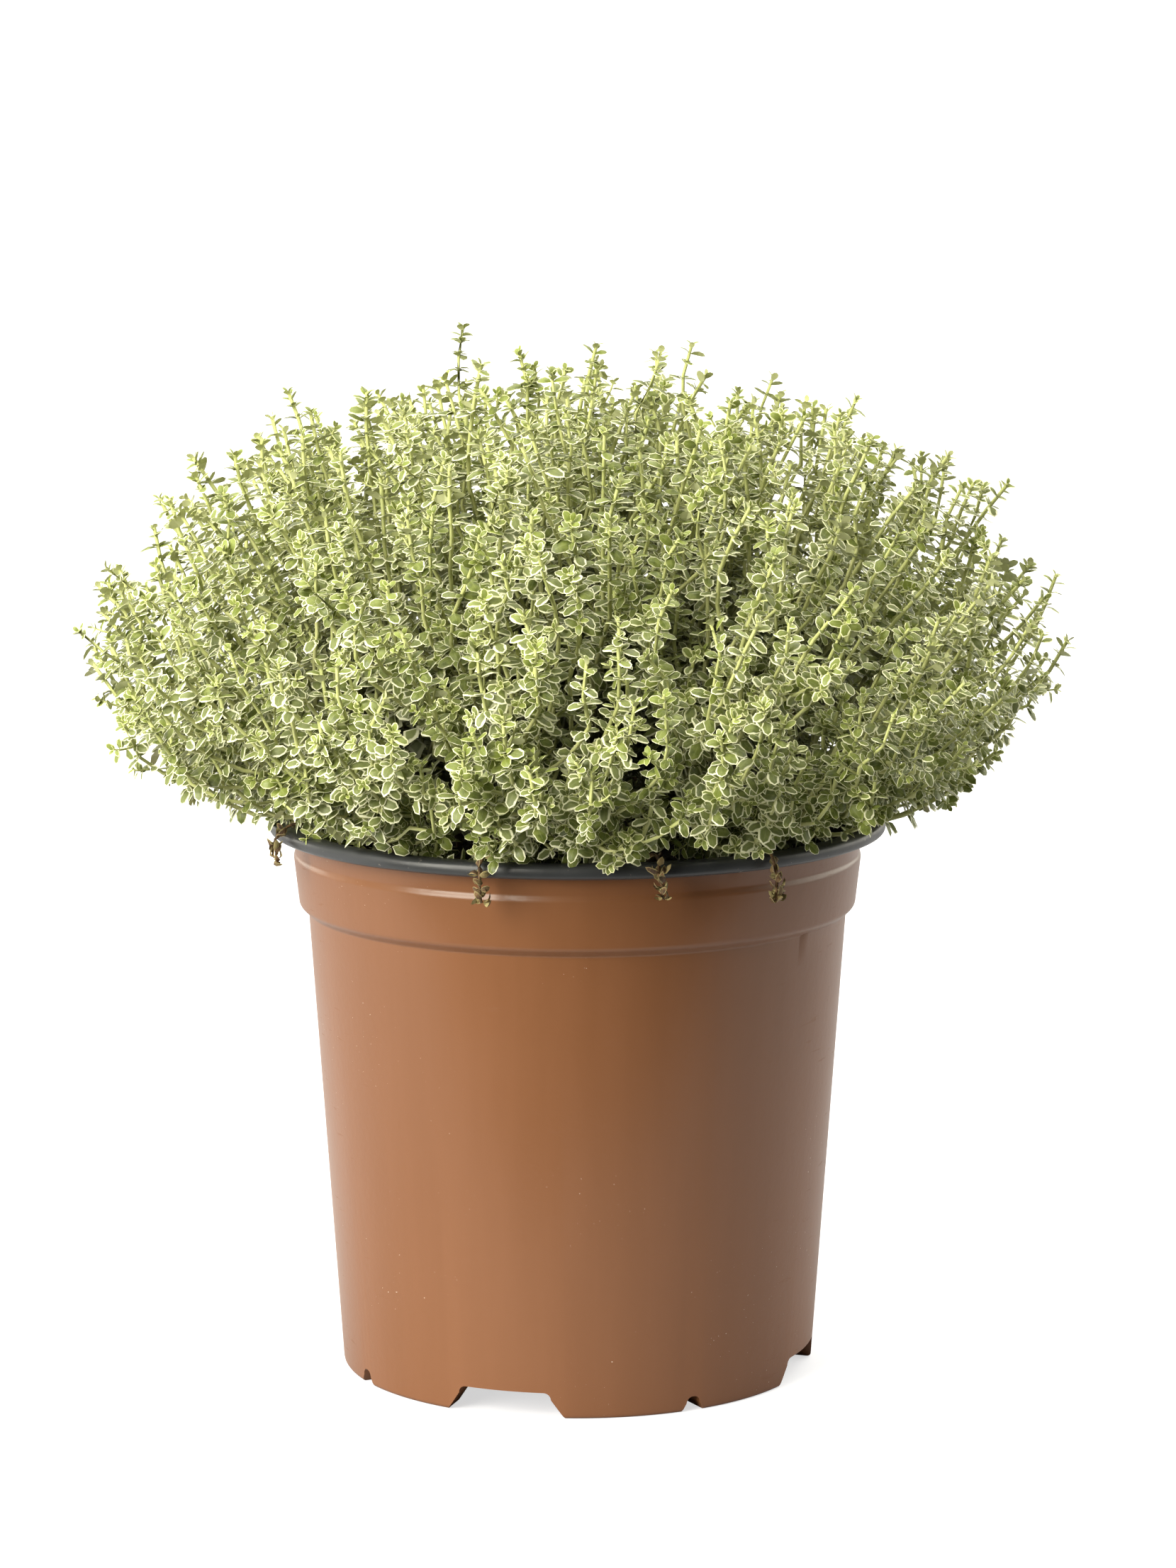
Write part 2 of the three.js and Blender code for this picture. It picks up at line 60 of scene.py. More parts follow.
# Light. Each soft part of the studio has its direction from the object, the cosines where it starts
# and where it is full, and how much it adds.
STUDIO, STUDIO_DARKEST = 1.05, 0.03
STUDIO_PARTS = [
    ((0, -1, 0), -0.75, 0.55, -0.98),  # the dark room behind the camera
    ((0.3, -0.6, -0.75), 0.05, 0.8, -1.1),  # its floor
    ((-0.64, 0.76, 0.15), 0.82, 0.98, 2.6),  # a softbox behind on the left
    ((0.8, 0.58, 0.1), 0.6, 0.97, 1.9),  # a white board on the right
    ((0, 0.2, 1), 0.5, 0.96, 2.4),  # a softbox overhead
]
LIGHT_COLOUR = (1, 0.96, 0.84)
WHITE_SEEN = 1.1  # the background that the camera sees
FLOOR = 6, -0.23, 12  # half its width, and where its front and back edges lie
FLOOR_GREYS = (0.4, 0.408, 0.448), (0.416, 0.424, 0.464)
FLOOR_LIFT = 0.63  # makes shadows on the floor pale to the eye without lighting the pot from below
KEY_PLACE, KEY_TARGET, KEY_SIZE, KEY_POWER = (-1.12, -1.1, 0.78), (0, 0, 0.15), (1.2, 1.3), 66

# Pot, as in the solids, with the edges rounded. The rows give radius, height and rounding.
ROUND_SIDES = 200
FLOOR_LOW, FLOOR_TOP = 8, 9.6
FOOT_RADIUS, FOOT_DEPTH = 73, 10
POT_OUTSIDE = [
    (0, FLOOR_LOW, 0), (FOOT_RADIUS - FOOT_DEPTH, FLOOR_LOW, 0.8), (FOOT_RADIUS - FOOT_DEPTH, 0, 0.6),
    (FOOT_RADIUS, 0, 1.3), (82.9, 142.4, 0.5), (85.7, 144.7, 1), (87.4, 159.6, 1.2), (86.8, 161, 0.6),
    (87.7, 166.9, 0.4),
]
POT_INSIDE = [
    (92.9, 166.9, 0.5), (94.7, 167.7, 0.8), (95, 169.3, 0.8), (94.6, 171, 0.8), (93, 171.5, 1),
    (89, 171.5, 1.3), (86, 164.8, 0.8), (85.4, 160.8, 0.8), (84.6, 145.5, 0.8), (81.6, 142.5, 0.8),
    (72.4, FLOOR_TOP, 1.2), (0, FLOOR_TOP, 0),
]
WALL_FLARE, WALL_TALL = 10, 143  # how much wider the wall gets over this height
WIDE_NOTCH = {"low": 37, "high": 29, "tall": 8, "turn": -107.5, "corner": 2.2}
NARROW_NOTCH = {"low": 7.6, "high": 4.6, "tall": 4.6, "turn": -61.5, "corner": 2}
NOTCH_BELOW, NOTCH_PAST, NOTCH_ARC = 1, 6, 7  # how far a cutter sticks out, and the points of its arcs
DRAIN_HOLES, DRAIN_RADIUS, DRAIN_CIRCLE = 6, 4, 42
DRAIN_MIDDLE, DRAIN_TALL, DRAIN_SIDES = 9, 8, 32
LIP_UNDERSIDE, NECK_TOP_RADIUS = 166.6, 90.3
INSIDE_LOW, INSIDE_RADIUS, INSIDE_FLOOR = 9.3, 91.6, 12  # the black inside, and its faces that look up
SMOOTH_ANGLE = 38
LUG_AZIMUTHS, LUG_LOW, LUG_HIGH, LUG_DEPTH = (-36.5, -15), 133, 144, 0.9
LUG_TURNS, LUG_LEVELS = 25, 9
LUG_STEP, LUG_SUNK, LUG_ROOT = 1 / 12, 0.05, 0.6  # the step's share of its width, and how deep it sits

# Soil. The rows of its body give radius and height.
SOIL_EDGE_Z, SOIL_MIDDLE_Z, SOIL_LUMP = 159.5, 162.5, 1.2
SOIL_WAVE_X, SOIL_WAVE_Y = 0.11, 0.13
SOIL_RIM, SOIL_RINGS, SOIL_SIDES = 85.4, 44, 150
SOIL_BODY = [(0, 9.9), (70.8, 9.9), (81.2, 142.4), (84.2, 146), (SOIL_RIM, SOIL_EDGE_Z - 1.8)]
SOIL_GRAIN, SOIL_ROUGH, SOIL_EDGE_WIDTH, SOIL_EDGE_DROP = 0.13, 1.6, 4, 0.6
SOIL_LAYER, SOIL_FRACTAL = 3, (1, 2.1, 5)
BAND_RADIUS = 87.5
CRUMBS, CRUMB_SPREAD, CRUMB_SIZES = 700, 83.5, (0.5, 1.7)
CRUMB_DENTS, CRUMB_SQUASH, CRUMB_RAISED = (0.6, 1.25), (0.7, 1.3), 0.3

# Dome of shoots, by the same rule as the solids.
DOME_CENTRE = np.array([0.0, 0.0, 163.0])
SPRAYS = 24
OUTERMOST_LEAN, ROOT_CIRCLE, FIRST_AZIMUTH = 74, 71, 86
REACH_TOP, REACH_SIDE, REACH_LOW_FALL = 158, 175, 54
LOW_LEAN, FLAT_LEAN, REACH_SPREAD = 64, 84, 0.09
TUFT_ROOM = 4  # how much sooner a stem ends, for the leaves at its tip
SKIN = (  # low leans, and how far the fine shoots reach there
    (64, 68, 71, 74, 78, 84, 90),
    (175, 171, 165, 150, 122, 103, 96),
)
HOLE_DEPTH, SEAT_GAP, STRAIGHT_RISE = 12, 0.3, 2.5
FORKS = (0.34, 0.48)
SIDE_SHOOTS = 2 * len(FORKS)
SIDE_SPREAD, SIDE_SHORTER, LOWEST_RISE, SPLAY, UPTURN = 12.5, 0.14, 0.17, 0.35, 0.42
MAIN_UPTURN, TWIST, SIDE_TWIST = 0.25, 45, 12
BENT_SHOOTS = {(3, 1): 28, (2, 2): 14, (5, 3): 14}  # by (spray, side shoot), in degrees
STEM_RADIUS = 1.3

# Stems: their radii and how woody they are at the root and at the tip, and how much of them has no leaves:
# a share of their length, but a length for side shoots and as the least of fine ones.
MAIN_RADII, MAIN_WOODY, MAIN_BARE = (STEM_RADIUS, 0.6), (1.2, 0.1), 0.32
SIDE_RADII, SIDE_WOODY, SIDE_BARE = (0.95, 0.55), (0.5, 0), 5
FINE_RADII, FINE_WOODY, FINE_WOODY_FALL, FINE_BARE, FINE_LEAST_BARE = (0.85, 0.6), 0.9, 0.8, 0.16, 4
WOODY_FALL, YOUNG_FROM, YOUNG_RISE = 1.8, 0.6, 1.6  # how fast a stem turns from woody, and to young
TUBE_STEP, TUBE_LEAST = 9, 6  # the length of a stem's pieces, and their least number
LOOK_AHEAD = 0.6  # how far on each side of a point its direction is read

# The finer shoots between them, some of which end below the dome's surface, and the undergrowth.
FINE_SHOOTS, FINE_LOWEST_LEAN, FINE_JITTER = 700, 78, 0.04
FINE_SHORTER_TOP, FINE_SHORTER_SIDE, SHORTER_SIDE_LEAN = 12, 2, 50
DEEP_SHARE, DEEPEST, DEEP_POWER = 0.4, 0.36, 0.8
UNDERGROWTH, UNDERGROWTH_RADIUS, UNDERGROWTH_HEIGHTS = 300, 93, (9, 78)
RIM_GROWTH_RADIUS, RIM_GROWTH_TOP, RIM_DETAIL = 64, 30, 16  # undergrowth that is seen by the pot's lip
FINE_UPTURN, UPTURN_SPREAD, LOW_UPTURN = 1.5, (0.5, 1.5), 0.8  # the last is added for the lowest shoots
LOW_FROM, LOW_RANGE = 0.65, 0.45  # the rise at which shoots start to be low, and over which they get lowest
ENDING_STRAY, FINE_LATE = 0.16, 0.5  # the second is the share of a fine shoot that turns upright
ROOT_SHARE, ROOT_FALL, ROOT_STRAY, ROOT_LIMITS = 0.52, 0.022, 0.06, (0.04, 0.6)  # where they leave their stem
TALL_SHOOT, FOLLOW_STEM = 130, 0.7  # less tall shoots leave lower; how much all follow the stem first
LIP_RADIUS, LIP_CLEAR, RISE_BEYOND_LIP = 97, 173.4, 0.45  # shoots pass over the lip, and rise beyond it
LIFT_FROM, LIFT_EASE = 82, 5  # the radius beyond which they are lifted, and how soon fully
PEAKS = [
    (-35, 5, 320), (-13, -8, 313), (36, 4, 315), (29, 15, 312), (-68, 0, 302), (-85, 10, 300),
    (-102, -5, 287), (69, -5, 299), (83, 8, 300), (110, 0, 281), (150, 5, 245), (-146, 0, 242),
]
LOW_TIPS = [
    (12, -124, 208), (24, -119, 203), (6, -114, 200), (-46, -120, 206), (-54, -112, 202), (-68, -110, 222),
    (-62, -104, 232), (74, -104, 212), (64, -110, 205), (80, -98, 222), (74, -84, 214), (70, -56, 210),
]
SWAYS = ((1, 2.6), (2.3, 1.4), (4.1, 0.6))  # waves along a shoot, and how far each sways
SWAY_EASE, TIP_BEND, TIP_BEND_LENGTH, TIP_BEND_AXES = 0.7, 3.4, 28, (1, 1, 0.4)

# Leaves. The rows give the share of the length and the share of the width.
LEAF_LENGTH, LEAF_WIDTH = 5.4, 3.6
LEAF_ROWS = ((0.24, 0.66), (0.56, 1), (0.86, 0.72))
BRACT_ROWS = ((0.36, 0.95), (0.8, 0.78))
TINY_ROWS = ((0.5, 1),)
LEAF_SHAPE = {"arch": (0, 0.1), "droop": (0.05, 0.46), "dome": (0.14, 0.42)}
LEAF_SIZES, LEAF_WIDTHS, LEAF_SUNK = (0.82, 1.12), (0.84, 1.12), 0.3
PAIR_STRAY, RISE_STRAY, ROLL_STRAY, TINT_STRAY = 0.16, 9, 0.34, 0.2
BRACT_SIZES, BRACT_SWING, BRACT_RISE, RISE_LIMIT = (0.34, 0.68), (24, 66), (-6, 34), 80
AXIL = 0.5  # how far above its leaf a small one sits

# Whorls of leaves, by their distance from the tip.
WHORL_AT = np.array([0.4, 1.4, 3.0, 6.0, 10.4, 15.6, 21.4, 27.6, 34.0, 40.6, 47.4, 54.4, 61.6, 69.0])
WHORL_STRETCH, WHORL_SIZES = (0.86, 1.16), (0.84, 1.1)
SIZE_BY_DISTANCE = ((0, 3, 7, 14, 60), (0.44, 0.84, 0.98, 1.04, 1))
RISE_BY_DISTANCE = ((0, 3, 7, 25, 60), (62, 34, 22, 16, 10))
TUFT_LENGTH, YOUNG_LENGTH, LEAST_YOUTH, YOUTHS = 5, 10, 0.03, (0.4, 1)
FACING, FACING_FROM, FACING_TO = 0.7, 3, 14  # how much, and how far from the tip, leaves face the light
FACING_PULL = (0, 1.4)
LIGHT_FROM_SIDE = 0.9  # the light reaches a leaf from above and, by this much, from outside the dome
FULL_CLUSTERS = 22  # how far from the tip the whorls have four small leaves in place of two
CLUSTER_SIZE = 0.85  # the least size of the leaves that have small ones
DETAIL_LENGTH = 26  # leaves farther from the tip are made of fewer faces
OLD_DEPTH, OLD_LEAF_SIZE = 0.6, 1.5  # deep inside, only plain old leaves are left
DARK_FROM, DARK_TO = 50, 104  # how deep inside the dome leaves and stems start to darken with painted shade, and are fully dark

# Side twigs, with a pair of leaves at each share of their length.
TWIG_CHANCE, TWIG_FREE_WHORLS, TWIG_LENGTHS, TWIG_LEAN, TWIG_CURL = 0.12, 4, (4, 8), (0.5, 1.1), 0.25
TWIG_AT, TWIG_SIZES = np.array([0.97, 0.86, 0.68, 0.4]), np.array([0.4, 0.58, 0.74, 0.8])
TWIG_RISES, TWIG_YOUTHS = np.array([66.0, 44, 30, 24]), np.linspace(0.9, 0.4, 4)
TWIG_RADII, TWIG_YOUTH, TWIG_POINTS, TWIG_RINGS = (0.4, 0.26), 0.5, 7, 4

# Withered sprigs that hang over the lip: azimuth in degrees, and how far they hang below its top. The rows
# give radius, height and how far aside they pass. The root's heights are above the soil.
DRY_SPRIGS = [(-107, 11), (-76, 10), (-54, 13), (-158, 9)]
DRY_ROOT = [(80.5, -11.7, 0), (80.5, 1.5, 0)]
DRY_BEND = [(87.6, 172.5, 0), (94, 173.2, 0.6), (98, 169, 0.3)]
DRY_END = (97.8, 171.5, 1.4)
DRY_WHORLS, DRY_NEXT = (0.3, 1.6, 3.4, 5.6, 8, 11, 15), 0.6
DRY_SIZES, DRY_RISES, DRY_WIDTHS, DRY_ROLL = (0.38, 0.6), (-60, 30), (0.9, 1.2), 0.8
DRY_SHAPE = {"arch": (0.1, 0.4), "droop": (0.2, 0.8), "dome": (0.3, 0.8)}
DRY_POINTS, DRY_CROOKED, DRY_RADII, DRY_RADIUS, DRY_TINT = 26, 0.22, (0.62, 0.42), 0.5, 0.2


def draw(i, k):
    """A fixed draw from 0 to 1 for each pair of numbers."""
    x = np.sin(i * 12.9898 + k * 78.233) * 43758.5453
    return x - np.floor(x)


def lerp(a, b, t):
    return a + (b - a) * t


def unit(v):
    return v / np.linalg.norm(v, axis=-1, keepdims=True)


def compass(azimuth):
    """The level direction at an azimuth in radians."""
    return np.array([cos(azimuth), sin(azimuth), 0])


def turned_about(v, axis, angle):
    """v turned about a unit axis, by the right-hand rule."""
    c, s = cos(angle), sin(angle)
    return v * c + np.cross(axis, v) * s + axis * np.dot(axis, v) * (1 - c)


# Materials


class Nodes:
    """A node tree with short calls for the nodes that it is made of."""

    def __init__(self, tree):
        self.tree = tree

    def node(self, kind, *inputs, **settings):
        made = self.tree.nodes.new("ShaderNode" + kind)
        for name, value in settings.items():
            setattr(made, name, value)
        for socket, value in inputs:
            self.put(made.inputs[socket], value)
        return made

    def put(self, socket, value):
        if isinstance(value, bpy.types.NodeSocket):
            self.tree.links.new(value, socket)
        else:
            socket.default_value = value

    def attribute(self, name):
        """The three numbers of a vector attribute."""
        read = self.node("Attribute", attribute_name=name)
        return self.node("SeparateXYZ", ("Vector", read.outputs["Vector"])).outputs

    def noise(self, scale, detail=3.0, roughness=0.55, stretch=None):
        place = self.node("TexCoord").outputs["Object"]
        if stretch:
            place = self.node("Mapping", ("Vector", place), ("Scale", stretch)).outputs["Vector"]
        inputs = ("Vector", place), ("Scale", scale), ("Detail", detail), ("Roughness", roughness)
        return self.node("TexNoise", *inputs).outputs["Fac"]

    def math(self, operation, a, b):
        return self.node("Math", (0, a), (1, b), operation=operation).outputs[0]

    def plus(self, a, b):
        return self.math("ADD", a, b)

    def times(self, a, b):
        return self.math("MULTIPLY", a, b)

    def band(self, value, low, high, start=0.0, end=1.0):
        """value mapped from low..high to start..end, with soft ends."""
        limits = ("From Min", low), ("From Max", high), ("To Min", start), ("To Max", end)
        made = self.node("MapRange", ("Value", value), *limits, interpolation_type="SMOOTHSTEP")
        return made.outputs["Result"]

    def layers(self, base, *rows):
        """A base with the colour of each row laid over it by the row's share."""
        for share, colour in rows:
            made = self.node("Mix", (0, share), data_type="RGBA")
            for socket, value in ((6, base), (7, colour)):
                self.put(made.inputs[socket], (*value, 1) if isinstance(value, tuple) else value)
            base = made.outputs[2]
        return base


class Look(Nodes):
    """A node material."""

    def __init__(self, name, **settings):
        self.material = bpy.data.materials.new(name)
        self.material.use_nodes = True
        super().__init__(self.material.node_tree)
        self.shader = self.tree.nodes["Principled BSDF"]
        for socket, value in settings.items():
            self.set(socket.replace("_", " "), value)

    def bump(self, height, strength, distance):
        made = self.node("Bump", ("Height", height), ("Strength", strength), ("Distance", distance))
        self.set("Normal", made.outputs["Normal"])

    def set(self, socket, value):
        self.put(self.shader.inputs[socket], value)

    def paint(self, base, *rows):
        self.set("Base Color", self.layers(base, *rows))


def brown_plastic():
    """Satin terracotta plastic with soft clouds, fine scratches and a few pale specks of dust."""
    dark, light = (0.178, 0.073, 0.03), (0.2, 0.084, 0.036)
    worn, dusty = (0.22, 0.094, 0.043), (0.7, 0.6, 0.5)
    look = Look("pot_brown", IOR=1.46)
    clouds = look.noise(9, 4)
    streaks = look.band(look.noise(14, stretch=(6, 6, 0.35)), 0.35, 0.75, 0, 0.3)
    specks = look.band(look.noise(1300, 2), 0.745, 0.76)
    patchy = look.band(look.noise(24, 2), 0.52, 0.64)
    look.paint(dark, (clouds, light), (streaks, worn), (look.times(specks, patchy), dusty))
    scratches = look.band(look.noise(60, 5, 0.7, stretch=(1, 1, 9)), 0.62, 0.68, 0, 0.12)
    look.set("Roughness", look.plus(look.band(clouds, 0.3, 0.7, 0.29, 0.36), scratches))
    look.bump(look.noise(420), 0.12, 0.0004)
    return look.material


def black_plastic():
    """Dull black plastic, greyed by dust along its edge."""
    dark, light, dusty = (0.023, 0.025, 0.028), (0.048, 0.051, 0.055), (0.3, 0.27, 0.23)
    look = Look("pot_black", IOR=1.46)
    clouds = look.noise(40, 4)
    dust = look.band(look.noise(500), 0.66, 0.74, 0, 0.5)
    look.paint(dark, (clouds, light), (dust, dusty))
    look.set("Roughness", look.band(clouds, 0.3, 0.7, 0.3, 0.46))
    look.bump(look.noise(300), 0.15, 0.0004)
    return look.material


def soil_look():
    """Moist peat: near black with brown fibres and paler crumbs."""
    dark, light, fibre = (0.012, 0.009, 0.007), (0.05, 0.034, 0.022), (0.16, 0.11, 0.065)
    look = Look("soil_peat", Roughness=0.95)
    grain = look.noise(260, 6, 0.7)
    fibres = look.band(look.noise(900, 4), 0.62, 0.7, 0, 0.5)
    look.paint(dark, (look.band(grain, 0.35, 0.7), light), (fibres, fibre))
    look.bump(grain, 0.8, 0.002)
    return look.material


def leaf_look():
    """A cream-edged leaf with a grey-green middle, yellower when young and with painted shade deep inside."""
    dark, light, grey = (0.085, 0.112, 0.02), (0.2, 0.238, 0.055), (0.25, 0.285, 0.12)
    young, midrib = (0.27, 0.33, 0.055), (0.32, 0.36, 0.17)
    cream, young_cream = (0.93, 0.935, 0.67), (0.88, 0.9, 0.45)
    lower, shaded = (0.34, 0.365, 0.18), (0.05, 0.055, 0.018)
    look = Look("thyme_leaf", IOR=1.42)
    rim, tint, youth = look.attribute("leaf")
    depth = look.attribute("wood_and_shade")[1]
    under = look.node("Attribute", attribute_name="under").outputs["Fac"]
    grain = look.noise(420, 4, 0.6)
    ragged = look.plus(rim, look.times(look.plus(grain, -0.5), 0.45))
    ragged = look.plus(ragged, look.times(look.plus(tint, -0.5), -0.3))
    look.paint(
        dark,
        (look.band(grain, 0.35, 0.65), light),
        (look.band(tint, 0.2, 1, 0, 0.6), grey),
        (look.times(youth, 0.75), young),
        (look.band(rim, 0.88, 1, 0, 0.3), midrib),
        (look.band(ragged, 0.13, 0.33, 1, 0), look.layers(cream, (youth, young_cream))),
        (look.times(under, 0.76), lower),
        # painted shade: darker the deeper a leaf lies inside the dome
        (look.times(depth, 0.75), shaded),
    )
    look.set("Roughness", look.band(grain, 0.3, 0.7, 0.36, 0.52))
    look.bump(look.noise(1600, 2), 0.25, 0.0002)
    return look.material


def stem_look():
    """Pale yellow-green stem that turns woody and brown towards its root, with painted shade deep inside."""
    dark, light, young = (0.43, 0.45, 0.17), (0.61, 0.615, 0.32), (0.46, 0.54, 0.14)
    dark_wood, light_wood, shaded = (0.085, 0.05, 0.028), (0.27, 0.18, 0.1), (0.07, 0.06, 0.025)
    look = Look("thyme_stem", Roughness=0.55, IOR=1.4)
    tint, youth = look.attribute("leaf")[1:]
    woody, depth, _ = look.attribute("wood_and_shade")
    streaks = look.noise(500)
    wood = look.layers(dark_wood, (streaks, light_wood))
    wooded = look.band(look.plus(woody, look.times(tint, 0.25)), 0.65, 1.1)
    youth, depth = look.times(youth, 0.4), look.times(depth, 0.5)
    # The last layer is painted shade, darker the deeper the stem lies inside the dome.
    look.paint(dark, (streaks, light), (youth, young), (wooded, wood), (depth, shaded))
    look.bump(streaks, 0.3, 0.0004)
    return look.material


def dry_look():
    """Withered leaf and stem: tan, brown and dull olive in patches, with paler edges."""
    dark, light, olive, pale = (0.04, 0.022, 0.012), (0.2, 0.115, 0.05), (0.32, 0.3, 0.12), (0.42, 0.35, 0.16)
    look = Look("thyme_withered", Roughness=0.8)
    rim, tint, _ = look.attribute("leaf")
    patches = look.noise(330, 4, 0.65)
    greener, edge = look.band(tint, 0.6, 1, 0, 0.6), look.band(rim, 0.1, 0.4, 0.7, 0)
    look.paint(dark, (look.band(patches, 0.35, 0.65), light), (greener, olive), (edge, pale))
    look.bump(patches, 0.7, 0.0008)
    return look.material


# Meshes


def object_of(name, data, materials=()):
    obj = bpy.data.objects.new(name, data)
    bpy.context.scene.collection.objects.link(obj)
    for material in materials:
        data.materials.append(material)
    return obj


def fitted(obj, slot, *nodes):
    """Says what a piece rides on and hides the solids of the nodes that it stands for."""
    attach(obj, "root")
    if nodes:
        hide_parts(*nodes)
    return obj


class Facets:
    """Gathers the points and faces of one piece, with the values that its materials read."""

    def __init__(self):
        self.points, self.leaf, self.wood_and_shade = [], [], []
        self.corners, self.sizes, self.slots, self.under = [], [], [], []
        self.count = 0

    def add(self, points, faces, slot, leaf, wood_and_shade, under=None):
        """faces is a list of arrays of index rows; under says which faces are the lower side of a leaf."""
        self.points.append(points)
        self.leaf.append(leaf)
        self.wood_and_shade.append(wood_and_shade)
        for n, face in enumerate(faces):
            face = np.atleast_2d(face)
            self.corners.append((face + self.count).ravel())
            self.sizes.append(np.full(len(face), face.shape[1]))
            self.slots.append(np.full(len(face), slot))
            self.under.append(np.zeros(len(face)) if under is None else under[n])
        self.count += len(points)

    def mesh(self, name):
        points = np.concatenate(self.points) * MM
        corners = np.concatenate(self.corners).astype(np.int32)
        sizes = np.concatenate(self.sizes)
        leaf = np.concatenate(self.leaf)
        mesh = bpy.data.meshes.new(name)
        mesh.vertices.add(len(points))
        mesh.vertices.foreach_set("co", points.ravel())
        mesh.loops.add(len(corners))
        mesh.loops.foreach_set("vertex_index", corners)
        mesh.polygons.add(len(sizes))
        starts = np.concatenate([[0], np.cumsum(sizes)[:-1]]).astype(np.int32)
        mesh.polygons.foreach_set("loop_start", starts)
        mesh.polygons.foreach_set("material_index", np.concatenate(self.slots).astype(np.int32))
        mesh.update(calc_edges=True)
        ends = np.empty(2 * len(mesh.edges), dtype=np.int32)
        mesh.edges.foreach_get("vertices", ends)
        on_rim = leaf[:, 0][ends.reshape(-1, 2)].max(axis=1) <= 0
        for key, kind, domain, field, values in (
            ("leaf", "FLOAT_VECTOR", "POINT", "vector", leaf),
            ("wood_and_shade", "FLOAT_VECTOR", "POINT", "vector", np.concatenate(self.wood_and_shade)),
            ("under", "FLOAT", "FACE", "value", np.concatenate(self.under)),
            ("sharp_edge", "BOOLEAN", "EDGE", "value", on_rim),
        ):
            mesh.attributes.new(key, kind, domain).data.foreach_set(field, values.ravel())
        return mesh


# Pot


def rounded(rows, steps=4):
    """A profile of (radius, height, rounding) rows as points, each corner replaced by a short arc."""
    points = []
    for n, (r, z, rounding) in enumerate(rows):
        here = np.array([r, z], dtype=float)
        if rounding == 0 or n in (0, len(rows) - 1):
            points.append(here)
            continue
        before, after = (np.array(rows[n + k][:2], dtype=float) for k in (-1, 1))
        to_before, to_after = before - here, after - here
        cut = min(rounding, 0.45 * np.linalg.norm(to_before), 0.45 * np.linalg.norm(to_after))
        start, end = here + unit(to_before) * cut, here + unit(to_after) * cut
        for t in np.linspace(0, 1, steps + 1):
            points.append((1 - t) ** 2 * start + 2 * t * (1 - t) * here + t * t * end)
    return np.array(points)


def lathe(profile, sides):
    """Points and faces of a closed profile turned about the Z axis, on which it starts and ends."""
    ring = profile[1:-1]
    angles = np.arange(sides) * 2 * pi / sides
    points = np.empty((len(ring), sides, 3))
    points[:, :, 0] = ring[:, :1] * np.cos(angles)
    points[:, :, 1] = ring[:, :1] * np.sin(angles)
    points[:, :, 2] = ring[:, 1:]
    points = np.concatenate([points.reshape(-1, 3), [[0, 0, profile[0, 1]], [0, 0, profile[-1, 1]]]])
    top, low, high = (len(ring) - 1) * sides, len(points) - 2, len(points) - 1
    faces = []
    for k in range(sides):
        n = (k + 1) % sides
        faces.append((low, n, k))
        for j in range(0, top, sides):
            faces.append((j + k, j + n, j + sides + n, j + sides + k))
        faces.append((top + k, top + n, high))
    return points, faces


def add_prism(made, outline, start, end, turn):
    """Adds a prism of an outline in Y and Z that runs along X, turned about the Z axis, to a bmesh."""
    near, far = ([made.verts.new((x * MM, y * MM, z * MM)) for y, z in outline] for x in (start, end))
    faces = [made.faces.new(near[::-1]), made.faces.new(far)]
    for k in range(len(outline)):
        n = (k + 1) % len(outline)
        faces.append(made.faces.new((near[k], near[n], far[n], far[k])))
    turned = Matrix.Rotation(radians(turn), 3, "Z")
    bmesh.ops.rotate(made, verts=near + far, cent=(0, 0, 0), matrix=turned)
    bmesh.ops.recalc_face_normals(made, faces=faces)


def notch_outline(notch):
    """The notch's outline, with its two upper corners rounded."""
    low, high, tall, corner = notch["low"] / 2, notch["high"] / 2, notch["tall"], notch["corner"]
    outline = [(-low, -NOTCH_BELOW), (low, -NOTCH_BELOW), (low, 0)]
    turns = np.linspace(0, 1, NOTCH_ARC) * pi / 2
    for side, arc in ((1, turns), (-1, turns[::-1])):
        for angle in arc:
            y, z = high - corner + corner * cos(angle), tall - corner + corner * sin(angle)
            outline.append((side * y, z))
    return outline + [(-low, 0)]


def pot_cutters():
    """All notches and drain holes as one mesh object."""
    made = bmesh.new()
    start, end = FOOT_RADIUS - FOOT_DEPTH - NOTCH_PAST, FOOT_RADIUS + NOTCH_PAST
    for notch in (WIDE_NOTCH, NARROW_NOTCH):
        for quarter in range(4):
            add_prism(made, notch_outline(notch), start, end, notch["turn"] + 90 * quarter)
    for k in range(DRAIN_HOLES):
        outward = compass(radians(360 / DRAIN_HOLES * k))
        middle = Matrix.Translation((outward * DRAIN_CIRCLE + UP * DRAIN_MIDDLE) * MM)
        sizes = {"radius1": DRAIN_RADIUS * MM, "radius2": DRAIN_RADIUS * MM, "depth": DRAIN_TALL * MM}
        bmesh.ops.create_cone(made, cap_ends=True, segments=DRAIN_SIDES, matrix=middle, **sizes)
    mesh = bpy.data.meshes.new("cutters")
    made.to_mesh(mesh)
    made.free()
    return object_of("cutters", mesh)


